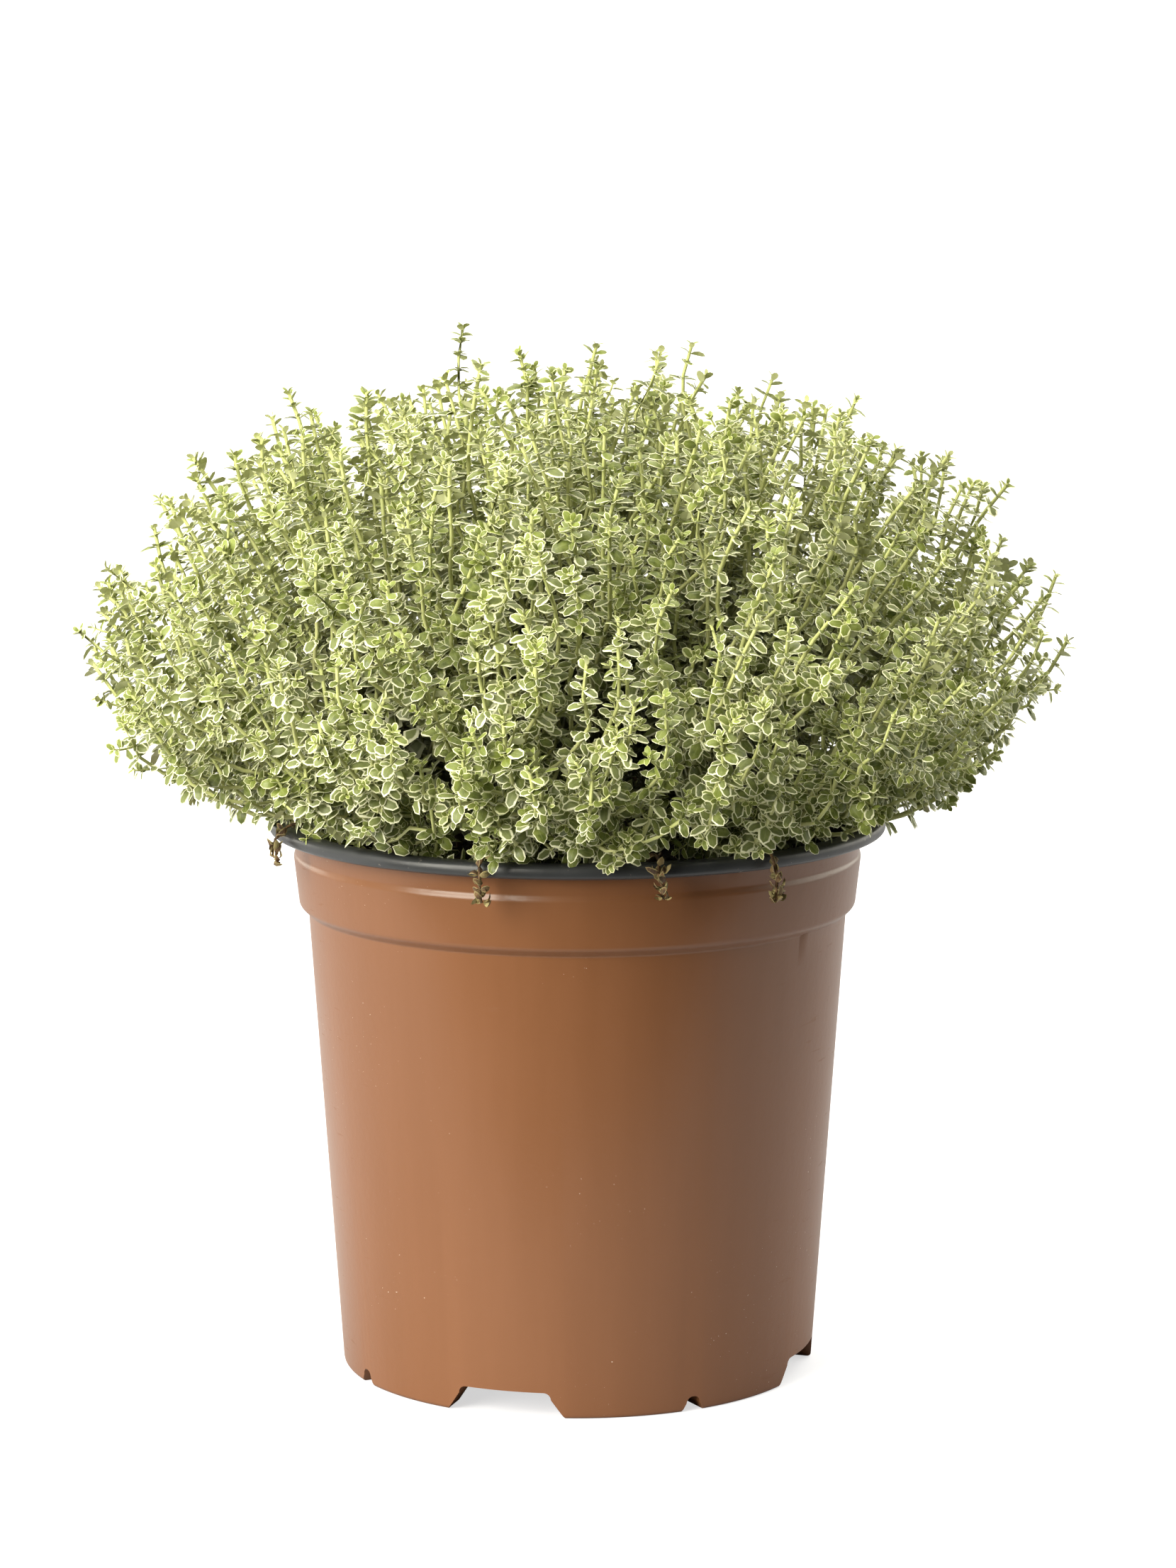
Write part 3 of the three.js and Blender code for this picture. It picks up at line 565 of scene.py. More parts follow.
def add_lug(mesh):
    """Adds the swelling below the band, which starts with an upright step and runs out to the right."""
    made = bmesh.new()
    made.from_mesh(mesh)
    near, far = [], []
    for a in np.linspace(0, 1, LUG_TURNS):
        outward = compass(radians(lerp(*LUG_AZIMUTHS, a)))
        for b in np.linspace(0, 1, LUG_LEVELS):
            z = lerp(LUG_LOW, LUG_HIGH, b)
            wall = FOOT_RADIUS + WALL_FLARE * z / WALL_TALL
            swell = LUG_DEPTH * b * (1 - a) ** 2 * min(1, a / LUG_STEP) - LUG_SUNK
            for rows, r in ((near, wall - LUG_ROOT), (far, wall + swell)):
                rows.append(made.verts.new((outward * r + UP * z) * MM))
    step, last = LUG_LEVELS, (LUG_TURNS - 1) * LUG_LEVELS
    for low in range(0, last, step):
        high = low + LUG_LEVELS - 1
        for n in range(low, high):
            made.faces.new((far[n], far[n + step], far[n + 1 + step], far[n + 1]))
            made.faces.new((near[n], near[n + 1], near[n + 1 + step], near[n + step]))
        made.faces.new((near[low], near[low + step], far[low + step], far[low]))
        made.faces.new((near[high], far[high], far[high + step], near[high + step]))
    for n in range(LUG_LEVELS - 1):
        made.faces.new((near[n], far[n], far[n + 1], near[n + 1]))
        made.faces.new((near[last + n], near[last + n + 1], far[last + n + 1], far[last + n]))
    made.to_mesh(mesh)
    made.free()


def make_pot(brown, black):
    points, faces = lathe(rounded(POT_OUTSIDE + POT_INSIDE), ROUND_SIDES)
    mesh = bpy.data.meshes.new("pot")
    mesh.from_pydata((points * MM).tolist(), [], faces)
    obj = object_of("pot_moulded", mesh, [brown, black])
    for face in mesh.polygons:
        corners = points[list(face.vertices)]
        widest, lowest = np.hypot(corners[:, 0], corners[:, 1]).max(), corners[:, 2].min()
        x, y, z = corners.mean(axis=0)
        looks_in = face.normal[0] * x + face.normal[1] * y < 0 or z < INSIDE_FLOOR
        is_inside = lowest > INSIDE_LOW and widest < INSIDE_RADIUS and looks_in
        is_lip = lowest > LIP_UNDERSIDE and widest > NECK_TOP_RADIUS
        face.material_index = 1 if is_lip or is_inside else 0
    cutters = pot_cutters()
    cut = obj.modifiers.new("cut", "BOOLEAN")
    cut.operation, cut.solver, cut.object = "DIFFERENCE", "EXACT", cutters
    graph = bpy.context.evaluated_depsgraph_get()
    done = bpy.data.meshes.new_from_object(obj.evaluated_get(graph))
    obj.modifiers.clear()
    obj.data = done
    bpy.data.objects.remove(cutters)
    add_lug(done)
    done.polygons.foreach_set("use_smooth", [True] * len(done.polygons))
    done.set_sharp_from_angle(angle=radians(SMOOTH_ANGLE))
    return fitted(obj, "pot_plastic", "pot")


# Soil


def soil_height(x, y):
    mound = SOIL_MIDDLE_Z + (SOIL_EDGE_Z - SOIL_MIDDLE_Z) * (x * x + y * y) / BAND_RADIUS**2
    return mound + SOIL_LUMP * np.sin(x * SOIL_WAVE_X + 1) * np.cos(y * SOIL_WAVE_Y)


def make_soil(material):
    radii = SOIL_RIM * (1 - np.linspace(0, 1, SOIL_RINGS))
    profile = np.array(SOIL_BODY + [(r, SOIL_EDGE_Z) for r in radii[1:]])
    points, faces = lathe(profile, SOIL_SIDES)
    surface = (len(SOIL_BODY) - 1) * SOIL_SIDES
    for n in [*range(surface, len(points) - 2), len(points) - 1]:
        x, y, _ = points[n]
        rough = noise.fractal(Vector((x, y, SOIL_LAYER)) * SOIL_GRAIN, *SOIL_FRACTAL) * SOIL_ROUGH
        edge = min(1.0, (SOIL_RIM - hypot(x, y)) / SOIL_EDGE_WIDTH)
        points[n, 2] = soil_height(x, y) + rough * edge - SOIL_EDGE_DROP * (1 - edge)
    grown = Facets()
    quads, tris = (np.array([face for face in faces if len(face) == size]) for size in (4, 3))
    blank = np.ones((len(points), 3))
    grown.add(points, [quads, tris], 0, blank, blank * 0)
    add_crumbs(grown)
    return fitted(object_of("soil_bed", grown.mesh("soil"), [material]), "soil", "soil")


def add_crumbs(grown):
    """Small rough lumps that lie on the soil."""
    ball = bmesh.new()
    bmesh.ops.create_icosphere(ball, subdivisions=1, radius=1.0)
    shape = np.array([v.co[:] for v in ball.verts])
    faces = np.array([[v.index for v in f.verts] for f in ball.faces])
    ball.free()
    blank = np.ones((len(shape), 3))
    rng = default_rng(CRUMB_SEED)
    for _ in range(CRUMBS):
        spread, turn = sqrt(rng.random()) * CRUMB_SPREAD, rng.random() * 2 * pi
        x, y = spread * cos(turn), spread * sin(turn)
        size = rng.uniform(*CRUMB_SIZES)
        lump = shape * rng.uniform(*CRUMB_DENTS, (len(shape), 1)) * size * rng.uniform(*CRUMB_SQUASH, 3)
        grown.add(lump + [x, y, soil_height(x, y) + size * CRUMB_RAISED], [faces], 0, blank, blank * 0)


# Stems and leaves


class Route:
    """A smooth run of points, read by the distance along it."""

    def __init__(self, points):
        self.points = points
        self.at = np.concatenate([[0], np.cumsum(np.linalg.norm(np.diff(points, axis=0), axis=1))])
        self.length = self.at[-1]

    def point(self, distance):
        return np.stack([np.interp(distance, self.at, self.points[:, k]) for k in range(3)], axis=-1)

    def along(self, distance):
        ahead = np.minimum(distance + LOOK_AHEAD, self.length)
        behind = np.maximum(distance - LOOK_AHEAD, 0)
        return unit(self.point(ahead) - self.point(behind))


def curved(start, heading, tip, ending, count=33, late=1 / 3):
    """A route from a point and a direction to a tip and the direction in which it ends."""
    reach = np.linalg.norm(tip - start)
    t = np.linspace(0, 1, count)[:, None]
    first, second = start + heading * reach / 3, tip - ending * reach * late
    near = (1 - t) ** 3 * start + 3 * t * (1 - t) ** 2 * first
    return Route(near + 3 * t * t * (1 - t) * second + t**3 * tip)


def swayed(route, rng):
    """The same route with the slow bends of a grown shoot and a tip that turns aside."""
    share = route.at / route.length
    bends = np.zeros_like(route.points)
    for waves, size in SWAYS:
        bends += np.sin(2 * pi * (waves * share + rng.random()))[:, None] * rng.normal(0, size, 3)
    ease = np.clip(np.sin(pi * share), 0, 1) ** SWAY_EASE
    near_tip = np.maximum(0, 1 - (route.length - route.at) / TIP_BEND_LENGTH) ** 2
    aside = rng.normal(0, TIP_BEND, 3) * TIP_BEND_AXES
    return Route(route.points + bends * ease[:, None] + aside * near_tip[:, None])


def lean_at(share, lowest):
    """The lean that a share of the dome's surface lies above, where the lowest lean is given in degrees."""
    return acos(1 - (1 - cos(radians(lowest))) * share)


def reach_at(lean):
    side = np.clip(lean / LOW_LEAN, 0, 1)
    side = side * side * (3 - 2 * side)
    low = np.clip((lean - LOW_LEAN) / (FLAT_LEAN - LOW_LEAN), 0, 1)
    return lerp(REACH_TOP, REACH_SIDE, side) - REACH_LOW_FALL * low**1.5


def skin_at(lean):
    return np.minimum(reach_at(lean), np.interp(lean, *SKIN))


def dome_tip(direction, seed, shorter=0.0):
    reach = reach_at(degrees(acos(direction[2])))
    return DOME_CENTRE + direction * (reach * (1 - shorter - REACH_SPREAD * draw(seed, 7)) - TUFT_ROOM)


def shoot_ending(direction):
    return unit(direction + UP * UPTURN)


class Spray:
    """The main stem and side shoots of one spray, as in the solids, and the finer shoots given to it."""

    def __init__(self, index):
        self.index = index
        share = (index + 0.5) / SPRAYS
        lean = lean_at(share, OUTERMOST_LEAN)
        outward = compass(radians(FIRST_AZIMUTH + GOLDEN_ANGLE * index))
        self.sideways = np.cross(UP, outward)
        self.direction = outward * sin(lean) + UP * cos(lean)
        self.over = outward * cos(lean) - UP * sin(lean)
        place = outward * ROOT_CIRCLE * sqrt(share)
        ground = soil_height(place[0], place[1])
        self.foot = place + UP * (ground - HOLE_DEPTH + SEAT_GAP)
        mouth = place + UP * (ground + STRAIGHT_RISE)
        heading = unit(self.direction + UP * MAIN_UPTURN)
        main = curved(mouth, heading, dome_tip(self.direction, index), shoot_ending(self.direction))
        self.main = swayed(main, default_rng(MAIN_SWAY_SEED + index))
        self.twist = radians(lerp(-TWIST, TWIST, draw(index, 3)))
        self.side = turned_about(self.sideways, self.direction, self.twist)
        self.shoots = [self.side_shoot(k) for k in range(SIDE_SHOOTS)]

    def side_seed(self, k):
        return SIDE_SEED + self.index * SIDE_SHOOTS + k

    def side_shoot(self, k):
        seed = self.side_seed(k)
        fork = k // 2
        angle = (2 * (k % 2) + fork) * pi / 2
        forks_at = FORKS[fork] * self.main.length
        point, along = self.main.point(forks_at), self.main.along(forks_at)
        u = unit(self.side - along * np.dot(self.side, along))
        out = u * cos(angle) + np.cross(along, u) * sin(angle)
        bend = BENT_SHOOTS.get((self.index, k), 0)
        turn = angle + self.twist + radians(bend + lerp(-SIDE_TWIST, SIDE_TWIST, draw(seed, 1)))
        spread = tan(radians(SIDE_SPREAD))
        aside, over = self.sideways * spread * cos(turn), self.over * spread * sin(turn)
        direction = unit(self.direction + aside - over)
        direction[2] = max(direction[2], LOWEST_RISE)
        direction = unit(direction)
        tip = dome_tip(direction, seed, SIDE_SHORTER if fork == 0 else 0.0)
        start = point + out * STEM_RADIUS * sqrt(0.5)
        heading = unit(unit(tip - start) + out * SPLAY)
        return curved(start, heading, tip, shoot_ending(direction))


def depth_at(points):
    """0 near the dome's surface, up to 1 deep inside it."""
    away = points - DOME_CENTRE
    far = np.linalg.norm(away, axis=1)
    lean = np.degrees(np.arccos(np.clip(away[:, 2] / np.maximum(far, 1e-6), -1, 1)))
    return np.clip((skin_at(lean) - far - DARK_FROM) / (DARK_TO - DARK_FROM), 0, 1)


def stem_tube(grown, points, along, side, radii, tint, youth, woody, sides=4):
    """A closed stem through a row of points."""
    u = unit(side - along * np.sum(side * along, axis=1, keepdims=True))
    v = np.cross(along, u)
    angles = (np.arange(sides) + 0.5) * 2 * pi / sides
    around = u[:, None, :] * np.cos(angles)[None, :, None] + v[:, None, :] * np.sin(angles)[None, :, None]
    rings = points[:, None, :] + around * radii[:, None, None]
    count = len(points)
    ring = np.arange(sides)
    after = (ring + 1) % sides
    base = (np.arange(count - 1) * sides)[:, None]
    quads = np.stack([base + ring, base + after, base + sides + after, base + sides + ring], axis=-1)
    caps = [ring[::-1], ring + (count - 1) * sides]
    leaf = np.stack([np.ones(count), np.full(count, tint), youth], axis=1)
    # The second value is how deep the stem lies inside the dome, which the materials paint as shade.
    wood_and_shade = np.stack([woody, depth_at(points), np.zeros(count)], axis=1)
    faces = [quads.reshape(-1, 4), *caps]
    grown.add(rings.reshape(-1, 3), faces, 1, np.repeat(leaf, sides, axis=0), np.repeat(wood_and_shade, sides, axis=0))


def leaf_template(rows):
    """Faces of a leaf. Its points are its root, the left, middle and right of each row, and its tip.

    Every third face is the lower side.
    """
    count = len(rows)
    left, middle, right = ([1 + 3 * r + k for r in range(count)] for k in range(3))
    tip = 1 + 3 * count
    tris = [(0, middle[0], left[0]), (0, right[0], middle[0]), (0, left[0], right[0])]
    tris += [(middle[-1], tip, left[-1]), (right[-1], tip, middle[-1]), (left[-1], tip, right[-1])]
    quads = []
    for r in range(count - 1):
        quads.append((middle[r], middle[r + 1], left[r + 1], left[r]))
        quads.append((right[r], right[r + 1], middle[r + 1], middle[r]))
        quads.append((left[r], left[r + 1], right[r + 1], right[r]))
    return np.array(tris), np.array(quads).reshape(-1, 4)


def add_leaves(grown, rows, leaves):
    """Closed leaves, domed above, from the columns that one_side and leaves_on make."""
    tris, quads = leaf_template(rows)
    blade, normal, origin = leaves["blade"], leaves["normal"], leaves["origin"]
    across = np.cross(normal, blade)
    length, half = leaves["length"][:, None], leaves["width"][:, None] / 2
    count, per = len(blade), 2 + 3 * len(rows)
    points = np.empty((count, per, 3))
    leaf = np.zeros((count, per, 3))

    def at(t, s, lift):
        rise = length * (leaves["arch"][:, None] * 4 * t * (1 - t) - leaves["droop"][:, None] * t * t)
        return origin + blade * length * t + across * half * s + normal * (rise + half * lift)

    points[:, 0] = at(0.0, 0.0, 0.0)
    points[:, -1] = at(1.0, 0.0, 0.0)
    for r, (t, width) in enumerate(rows):
        points[:, 1 + 3 * r] = at(t, width, 0.0)
        points[:, 2 + 3 * r] = at(t, 0.0, leaves["dome"][:, None] * width)
        points[:, 3 + 3 * r] = at(t, -width, 0.0)
        leaf[:, 2 + 3 * r, 0] = 1
    leaf[:, :, 1] = leaves["tint"][:, None]
    leaf[:, :, 2] = leaves["youth"][:, None]
    wood_and_shade = np.zeros((count, per, 3))
    # How deep each leaf lies inside the dome, which the leaf material paints as shade.
    wood_and_shade[:, :, 1] = depth_at(origin)[:, None]
    step = (np.arange(count) * per)[:, None, None]
    faces = [(corners + step).reshape(-1, corners.shape[1]) for corners in (tris, quads)]
    under = [np.arange(len(face)) % 3 == 2 for face in faces]
    grown.add(points.reshape(-1, 3), faces, 0, leaf.reshape(-1, 3), wood_and_shade.reshape(-1, 3), under)


def joined(rows):
    return {key: np.concatenate([row[key] for row in rows]) for key in rows[0]}


def leaves_on(route, side, at, size, rise, rng, youth, tint, radius):
    """Two opposite leaves at each distance, each pair across the last, with small leaves in their axils."""
    count, far = len(at), route.length - at
    point, along = route.point(at), route.along(at)
    u = unit(side - along * (along @ side)[:, None])
    v = np.cross(along, u)
    turn = np.arange(count) * pi / 2 + rng.normal(0, PAIR_STRAY, count)
    facing = FACING * np.clip((far - FACING_FROM) / (FACING_TO - FACING_FROM), 0, 1)
    light = unit(UP + LIGHT_FROM_SIDE * unit(point - DOME_CENTRE)) * facing[:, None]

    def at_one_side(point, angle, lift, sizes):
        out = u * np.cos(angle)[:, None] + v * np.sin(angle)[:, None]
        length = LEAF_LENGTH * size * rng.uniform(*sizes, count)
        origin = point + out * radius * LEAF_SUNK
        leaves = one_side(origin, along, out, np.radians(lift), length, light, rng, tint)
        return leaves | {"youth": youth, "far": far}

    big, small = [], []
    for angle in (turn, turn + pi):
        big.append(at_one_side(point, angle, rise + rng.normal(0, RISE_STRAY, count), LEAF_SIZES))
        for sway in (-1, 1):
            swing = angle + sway * np.radians(rng.uniform(*BRACT_SWING, count))
            lift = np.clip(rise + rng.uniform(*BRACT_RISE, count), 0, RISE_LIMIT)
            bracts = at_one_side(point + along * AXIL, swing, lift, BRACT_SIZES)
            bracts["seen"] = (size > CLUSTER_SIZE) & ((far < FULL_CLUSTERS) | (sway == 1))
            small.append(bracts)
    return joined(big), joined(small)


def one_side(origin, along, out, lift, length, light, rng, shoot_tint):
    """Leaves that leave the stem in the given directions."""
    count = len(length)
    c, s = np.cos(lift)[:, None], np.sin(lift)[:, None]
    blade = out * c + along * s
    normal = rolled(blade, along * c - out * s, ROLL_STRAY, rng)
    normal = unit(normal + light * rng.uniform(*FACING_PULL, count)[:, None])
    blade = unit(blade - normal * np.sum(blade * normal, axis=1, keepdims=True))
    width = length * LEAF_WIDTH / LEAF_LENGTH * rng.uniform(*LEAF_WIDTHS, count)
    leaves = {"origin": origin, "blade": blade, "normal": normal, "length": length, "width": width}
    for key, limits in LEAF_SHAPE.items():
        leaves[key] = rng.uniform(*limits, count)
    leaves["tint"] = np.clip(shoot_tint + rng.normal(0, TINT_STRAY, count), 0, 1)
    return leaves


def rolled(blade, normal, stray, rng):
    """The normals of leaves that each roll about their midrib by their own angle."""
    roll = rng.normal(0, stray, len(blade))[:, None]
    return normal * np.cos(roll) + np.cross(blade, normal) * np.sin(roll)


def picked(leaves, choice):
    return {key: value[choice] for key, value in leaves.items()}


def add_twig(grown, start, along, out, rng, tint):
    """A short side twig with a tuft of small leaves."""
    length = rng.uniform(*TWIG_LENGTHS)
    heading = unit(out + along * rng.uniform(*TWIG_LEAN))
    tip = start + heading * length + along * length * TWIG_CURL
    route = curved(start, heading, tip, unit(heading + along), TWIG_POINTS)
    at, (thick, thin) = route.length * TWIG_AT, TWIG_RADII
    leaves, _ = leaves_on(route, out, at, TWIG_SIZES, TWIG_RISES, rng, TWIG_YOUTHS, tint, thick)
    add_leaves(grown, BRACT_ROWS, leaves)
    distance, radii = (np.linspace(*ends, TWIG_RINGS) for ends in ((0, route.length), (thick, thin)))
    flat = np.zeros(TWIG_RINGS)
    stem_tube(grown, route.point(distance), route.along(distance), out, radii, tint, flat + TWIG_YOUTH, flat)


def grow(grown, route, side, radii, woody, seed, bare, root=None, detail=DETAIL_LENGTH):
    """One leafy shoot: its stem, its whorls of leaves, the tuft at its tip and some side twigs."""
    rng = default_rng(seed)
    length = route.length
    in_tuft = WHORL_AT < TUFT_LENGTH
    gaps = WHORL_AT * np.where(in_tuft, 1.0, rng.uniform(*WHORL_STRETCH))
    gaps = gaps[(length - gaps > bare) | in_tuft]
    at = length - gaps
    size = np.interp(gaps, *SIZE_BY_DISTANCE) * rng.uniform(*WHORL_SIZES)
    rise = np.interp(gaps, *RISE_BY_DISTANCE)
    youth = np.clip(1.0 - gaps / YOUNG_LENGTH, LEAST_YOUTH, 1) * rng.uniform(*YOUTHS)
    tint = rng.random()
    big, small = leaves_on(route, side, at, size, rise, rng, youth, tint, radii[1])
    old = depth_at(big["origin"]) > OLD_DEPTH
    for key in ("length", "width"):
        big[key][old] *= OLD_LEAF_SIZE
    add_leaves(grown, TINY_ROWS, picked(big, old))
    big = picked(big, ~old)
    small = picked(small, small["seen"] & (depth_at(small["origin"]) <= OLD_DEPTH))
    for leaves, near_rows, far_rows in ((big, LEAF_ROWS, BRACT_ROWS), (small, BRACT_ROWS, TINY_ROWS)):
        add_leaves(grown, near_rows, picked(leaves, leaves["far"] < detail))
        add_leaves(grown, far_rows, picked(leaves, leaves["far"] >= detail))
    for distance in np.repeat(at[TWIG_FREE_WHORLS:], 2):
        if rng.random() < TWIG_CHANCE:
            along = route.along(distance)
            out = unit(np.cross(along, rng.normal(0, 1, 3)))
            add_twig(grown, route.point(distance), along, out, rng, tint)
    distance = np.linspace(0, length, max(TUBE_LEAST, int(length / TUBE_STEP)))
    points, along = route.point(distance), route.along(distance)
    share = distance / length
    if root is not None:
        points, along = np.vstack([root, points]), np.vstack([UP, along])
        share = np.concatenate([[0], share])
    wood = lerp(*woody, np.clip(share * WOODY_FALL, 0, 1))
    young = np.clip(share * YOUNG_RISE - YOUNG_FROM, 0, 1)
    stem_tube(grown, points, along, side, lerp(*radii, np.sqrt(share)), tint, young, wood)


def fine_plans(sprays):
    """The finer shoots over the dome, at its peaks, low down and inside: nearest spray, tip and detail."""
    rng = default_rng(PLAN_SEED)
    plans = []
    for j in range(FINE_SHOOTS):
        lean = lean_at((j + 0.5) / FINE_SHOOTS, FINE_LOWEST_LEAN) + rng.normal(0, FINE_JITTER)
        lean = min(lean, radians(FINE_LOWEST_LEAN))
        outward = compass(radians(GOLDEN_ANGLE * j) + rng.normal(0, FINE_JITTER))
        depth = rng.random() ** DEEP_POWER * DEEPEST if rng.random() < DEEP_SHARE else 0.0
        side = min(1.0, degrees(lean) / SHORTER_SIDE_LEAN)
        reach = skin_at(degrees(lean)) * (1 - depth - REACH_SPREAD * rng.random()) - TUFT_ROOM
        reach -= lerp(FINE_SHORTER_TOP, FINE_SHORTER_SIDE, side)
        direction = outward * sin(lean) + UP * cos(lean)
        plans.append((DOME_CENTRE + direction * reach, DETAIL_LENGTH))
    plans += [(np.array(tip, dtype=float), DETAIL_LENGTH) for tip in PEAKS + LOW_TIPS]
    low, high = UNDERGROWTH_HEIGHTS
    for j in range(UNDERGROWTH):
        outward = compass(radians(GOLDEN_ANGLE * j))
        away = UNDERGROWTH_RADIUS * sqrt((j + 0.5) / UNDERGROWTH)
        is_inner = away < RIM_GROWTH_RADIUS
        height = rng.uniform(low, high if is_inner else RIM_GROWTH_TOP)
        plans.append((DOME_CENTRE + outward * away + UP * height, 0.0 if is_inner else RIM_DETAIL))
    directions = np.array([spray.direction for spray in sprays])
    return [(int(np.argmax(directions @ unit(tip - DOME_CENTRE))), tip, detail) for tip, detail in plans]


def over_the_lip(route):
    """The same route, lifted where it would run into the pot's lip or hang down beyond it."""
    points = route.points.copy()
    radius = np.hypot(points[:, 0], points[:, 1])
    clear = LIP_CLEAR + RISE_BEYOND_LIP * np.maximum(0, radius - LIP_RADIUS)
    points[:, 2] += np.maximum(0, clear - points[:, 2]) * np.clip((radius - LIFT_FROM) / LIFT_EASE, 0, 1)
    return Route(points)


def fine_shoot(grown, spray, tip, seed, detail):
    """A finer shoot that leaves its spray's main stem low down and ends at its own tip."""
    rng = default_rng(FINE_SWAY_SEED + seed)
    direction = unit(tip - DOME_CENTRE)
    away = degrees(acos(min(1.0, float(direction @ spray.direction))))
    height = min(1.0, np.linalg.norm(tip - DOME_CENTRE) / TALL_SHOOT)
    share = np.clip((ROOT_SHARE - away * ROOT_FALL + rng.normal(0, ROOT_STRAY)) * height, *ROOT_LIMITS)
    leaves_at = share * spray.main.length
    start = spray.main.point(leaves_at)
    heading = unit(spray.main.along(leaves_at) * FOLLOW_STEM + unit(tip - start))
    upturn = FINE_UPTURN * rng.uniform(*UPTURN_SPREAD)
    upturn += LOW_UPTURN * np.clip((LOW_FROM - direction[2]) / LOW_RANGE, 0, 1)
    ending = unit(direction + UP * upturn + rng.normal(0, ENDING_STRAY, 3))
    route = over_the_lip(swayed(curved(start, heading, tip, ending, late=FINE_LATE), rng))
    side = unit(rng.normal(0, 1, 3))
    woody = (FINE_WOODY - FINE_WOODY_FALL * share, 0.0)
    bare = max(FINE_LEAST_BARE, FINE_BARE * route.length)
    grow(grown, route, side, FINE_RADII, woody, FINE_LEAF_SEED + seed, bare, detail=detail)


def make_sprays(leaf, stem):
    sprays = [Spray(i) for i in range(SPRAYS)]
    plans = fine_plans(sprays)
    for spray in sprays:
        grown, main = Facets(), spray.main
        bare = MAIN_BARE * main.length
        grow(grown, main, spray.side, MAIN_RADII, MAIN_WOODY, spray.index, bare, root=spray.foot)
        for k, route in enumerate(spray.shoots):
            seed = spray.side_seed(k)
            route = swayed(route, default_rng(SIDE_SWAY_SEED + seed))
            side = -main.along(FORKS[k // 2] * main.length)
            grow(grown, route, side, SIDE_RADII, SIDE_WOODY, seed, SIDE_BARE)
        for n, (owner, tip, detail) in enumerate(plans):
            if owner == spray.index:
                fine_shoot(grown, spray, tip, n, detail)
        name = f"spray_{spray.index + 1:02d}"
        fitted(object_of(f"thyme_{name}", grown.mesh(name), [leaf, stem]), "leafy_stems", name)


# Withered sprigs


def dry_route(azimuth, hang):
    """A smooth route from the soil, over the lip and down outside it, and the direction to its side."""
    outward = compass(radians(azimuth))
    sideways = np.cross(UP, outward)
    place = outward * DRY_ROOT[0][0]
    ground = soil_height(place[0], place[1])
    radius, height, aside = DRY_END
    rows = [(r, ground + z, s) for r, z, s in DRY_ROOT] + DRY_BEND + [(radius, height - hang, aside)]
    rows = [outward * r + sideways * s + UP * z for r, z, s in rows]
    points = []
    for n in range(len(rows) - 1):
        before, after = rows[max(n - 1, 0)], rows[min(n + 2, len(rows) - 1)]
        a, b = rows[n], rows[n + 1]
        for t in np.linspace(0, 1, 9)[:-1]:
            curve = (2 * a) + (b - before) * t + (2 * before - 5 * a + 4 * b - after) * t * t
            points.append((curve + (3 * a - before - 3 * b + after) * t**3) / 2)
    return Route(np.array(points + [rows[-1]])), sideways


def make_dry(material):
    for n, (azimuth, hang) in enumerate(DRY_SPRIGS):
        route, side = dry_route(azimuth, hang)
        rng = default_rng(DRY_SEED + n)
        at = route.length - np.array(DRY_WHORLS)
        size = rng.uniform(*DRY_SIZES, len(at))
        rows = []
        for facing, where in ((side, at), (-side, at[:-2] - DRY_NEXT)):
            count = len(where)
            rise = rng.uniform(*DRY_RISES, count)
            shared = (rng, np.zeros(count), DRY_TINT, DRY_RADIUS)
            rows.append(leaves_on(route, facing, where, size[:count], rise, *shared)[0])
        leaves = joined(rows)
        count = len(leaves["length"])
        for key, limits in DRY_SHAPE.items():
            leaves[key] = rng.uniform(*limits, count)
        leaves["width"] *= rng.uniform(*DRY_WIDTHS, count)
        leaves["tint"] = rng.random(count)
        leaves["normal"] = rolled(leaves["blade"], leaves["normal"], DRY_ROLL, rng)
        grown = Facets()
        add_leaves(grown, LEAF_ROWS, leaves)
        distance = np.linspace(0, route.length, DRY_POINTS)
        points = route.point(distance) + rng.normal(0, DRY_CROOKED, (DRY_POINTS, 3))
        radii, flat = lerp(*DRY_RADII, distance / route.length), np.zeros(DRY_POINTS)
        stem_tube(grown, points, route.along(distance), side, radii, DRY_TINT, flat, flat)
        name = f"dry_sprig_{n + 1}"
        piece = object_of(f"withered_{n + 1}", grown.mesh(name), [material, material])
        fitted(piece, "withered_stems", name)


# Stage


def make_camera():
    data = bpy.data.cameras.new("camera")
    data.sensor_width = CAMERA_SENSOR
    data.lens = CAMERA_LENS
    camera = object_of("camera", data)
    camera.location = CAMERA_PLACE
    camera.rotation_euler = (radians(90 - CAMERA_PITCH), 0, 0)
    bpy.context.scene.camera = camera


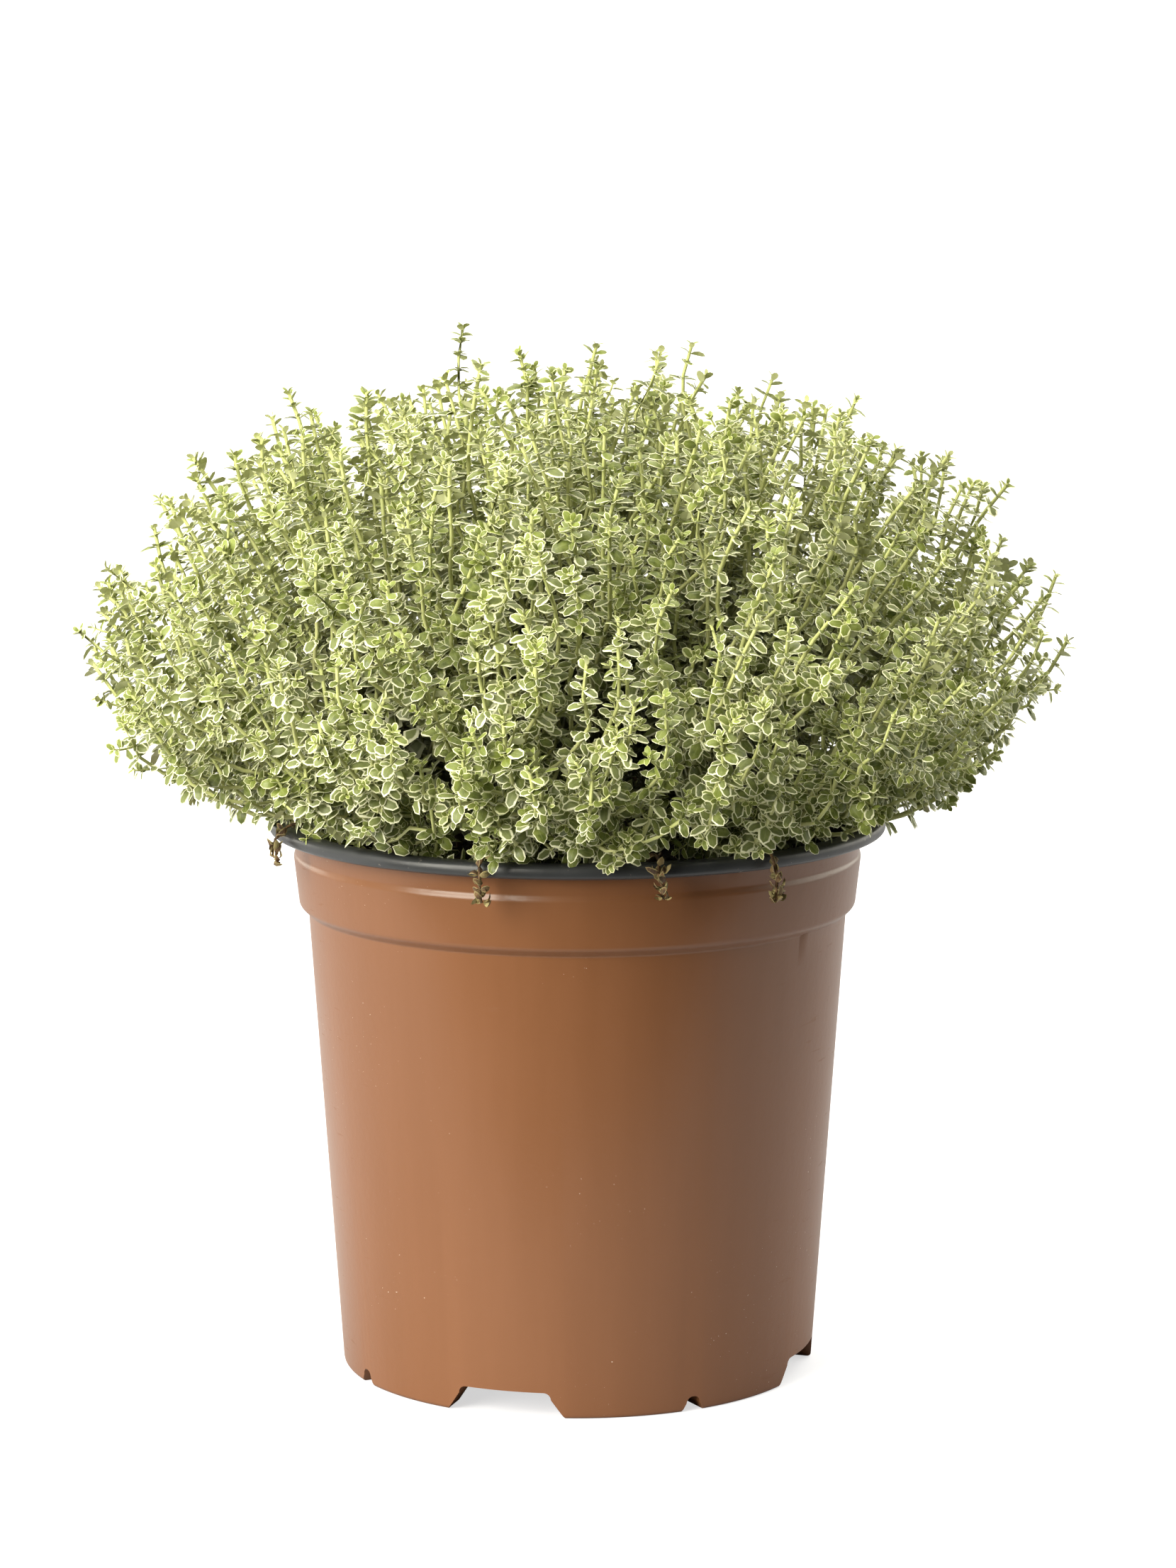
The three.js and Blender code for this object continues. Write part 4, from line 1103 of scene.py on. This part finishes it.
def make_floor():
    """A pale floor that ends just in front of the picture, where the room is dark."""
    look = Look("floor_white", Roughness=0.9, Emission_Color=(1, 1, 1, 1))
    seen = look.node("LightPath").outputs["Is Camera Ray"]
    look.set("Emission Strength", look.times(seen, FLOOR_LIFT))
    look.paint(FLOOR_GREYS[0], (look.noise(3, 2), FLOOR_GREYS[1]))
    side, front, back = FLOOR
    mesh = bpy.data.meshes.new("floor")
    corners = [(-side, front, 0), (side, front, 0), (side, back, 0), (-side, back, 0)]
    mesh.from_pydata(corners, [], [(0, 1, 2, 3)])
    object_of("floor", mesh, [look.material])


def make_light():
    """A studio that is white behind and above the object and dark behind the camera, with one key light."""
    world = bpy.data.worlds.new("studio")
    world.use_nodes = True
    studio = Nodes(world.node_tree)
    towards = studio.node("TexCoord").outputs["Generated"]
    brightness = STUDIO
    for direction, start, full, amount in STUDIO_PARTS:
        inputs = (0, towards), (1, Vector(direction).normalized())
        facing = studio.node("VectorMath", *inputs, operation="DOT_PRODUCT").outputs["Value"]
        brightness = studio.plus(studio.band(facing, start, full, 0.0, amount), brightness)
    lit = studio.tree.nodes["Background"]
    lit.inputs["Color"].default_value = (*LIGHT_COLOUR, 1)
    studio.put(lit.inputs["Strength"], studio.math("MAXIMUM", brightness, STUDIO_DARKEST))
    white = studio.node("Background", ("Color", (1, 1, 1, 1)), ("Strength", WHITE_SEEN))
    seen = studio.node("LightPath").outputs["Is Camera Ray"]
    choice = studio.node("MixShader", (0, seen), (1, lit.outputs[0]), (2, white.outputs[0]))
    studio.put(studio.tree.nodes["World Output"].inputs["Surface"], choice.outputs[0])
    bpy.context.scene.world = world

    key = bpy.data.lights.new("key", "AREA")
    key.shape = "RECTANGLE"
    key.size, key.size_y = KEY_SIZE
    key.energy = KEY_POWER
    key.color = LIGHT_COLOUR
    lamp = object_of("key", key)
    lamp.location = KEY_PLACE
    lamp.rotation_euler = (Vector(KEY_TARGET) - Vector(KEY_PLACE)).to_track_quat("-Z", "Y").to_euler()
    view = bpy.context.scene.view_settings
    view.view_transform = "Standard"
    view.look = "None"


make_camera()
make_floor()
make_light()
make_pot(brown_plastic(), black_plastic())
make_soil(soil_look())
make_sprays(leaf_look(), stem_look())
make_dry(dry_look())
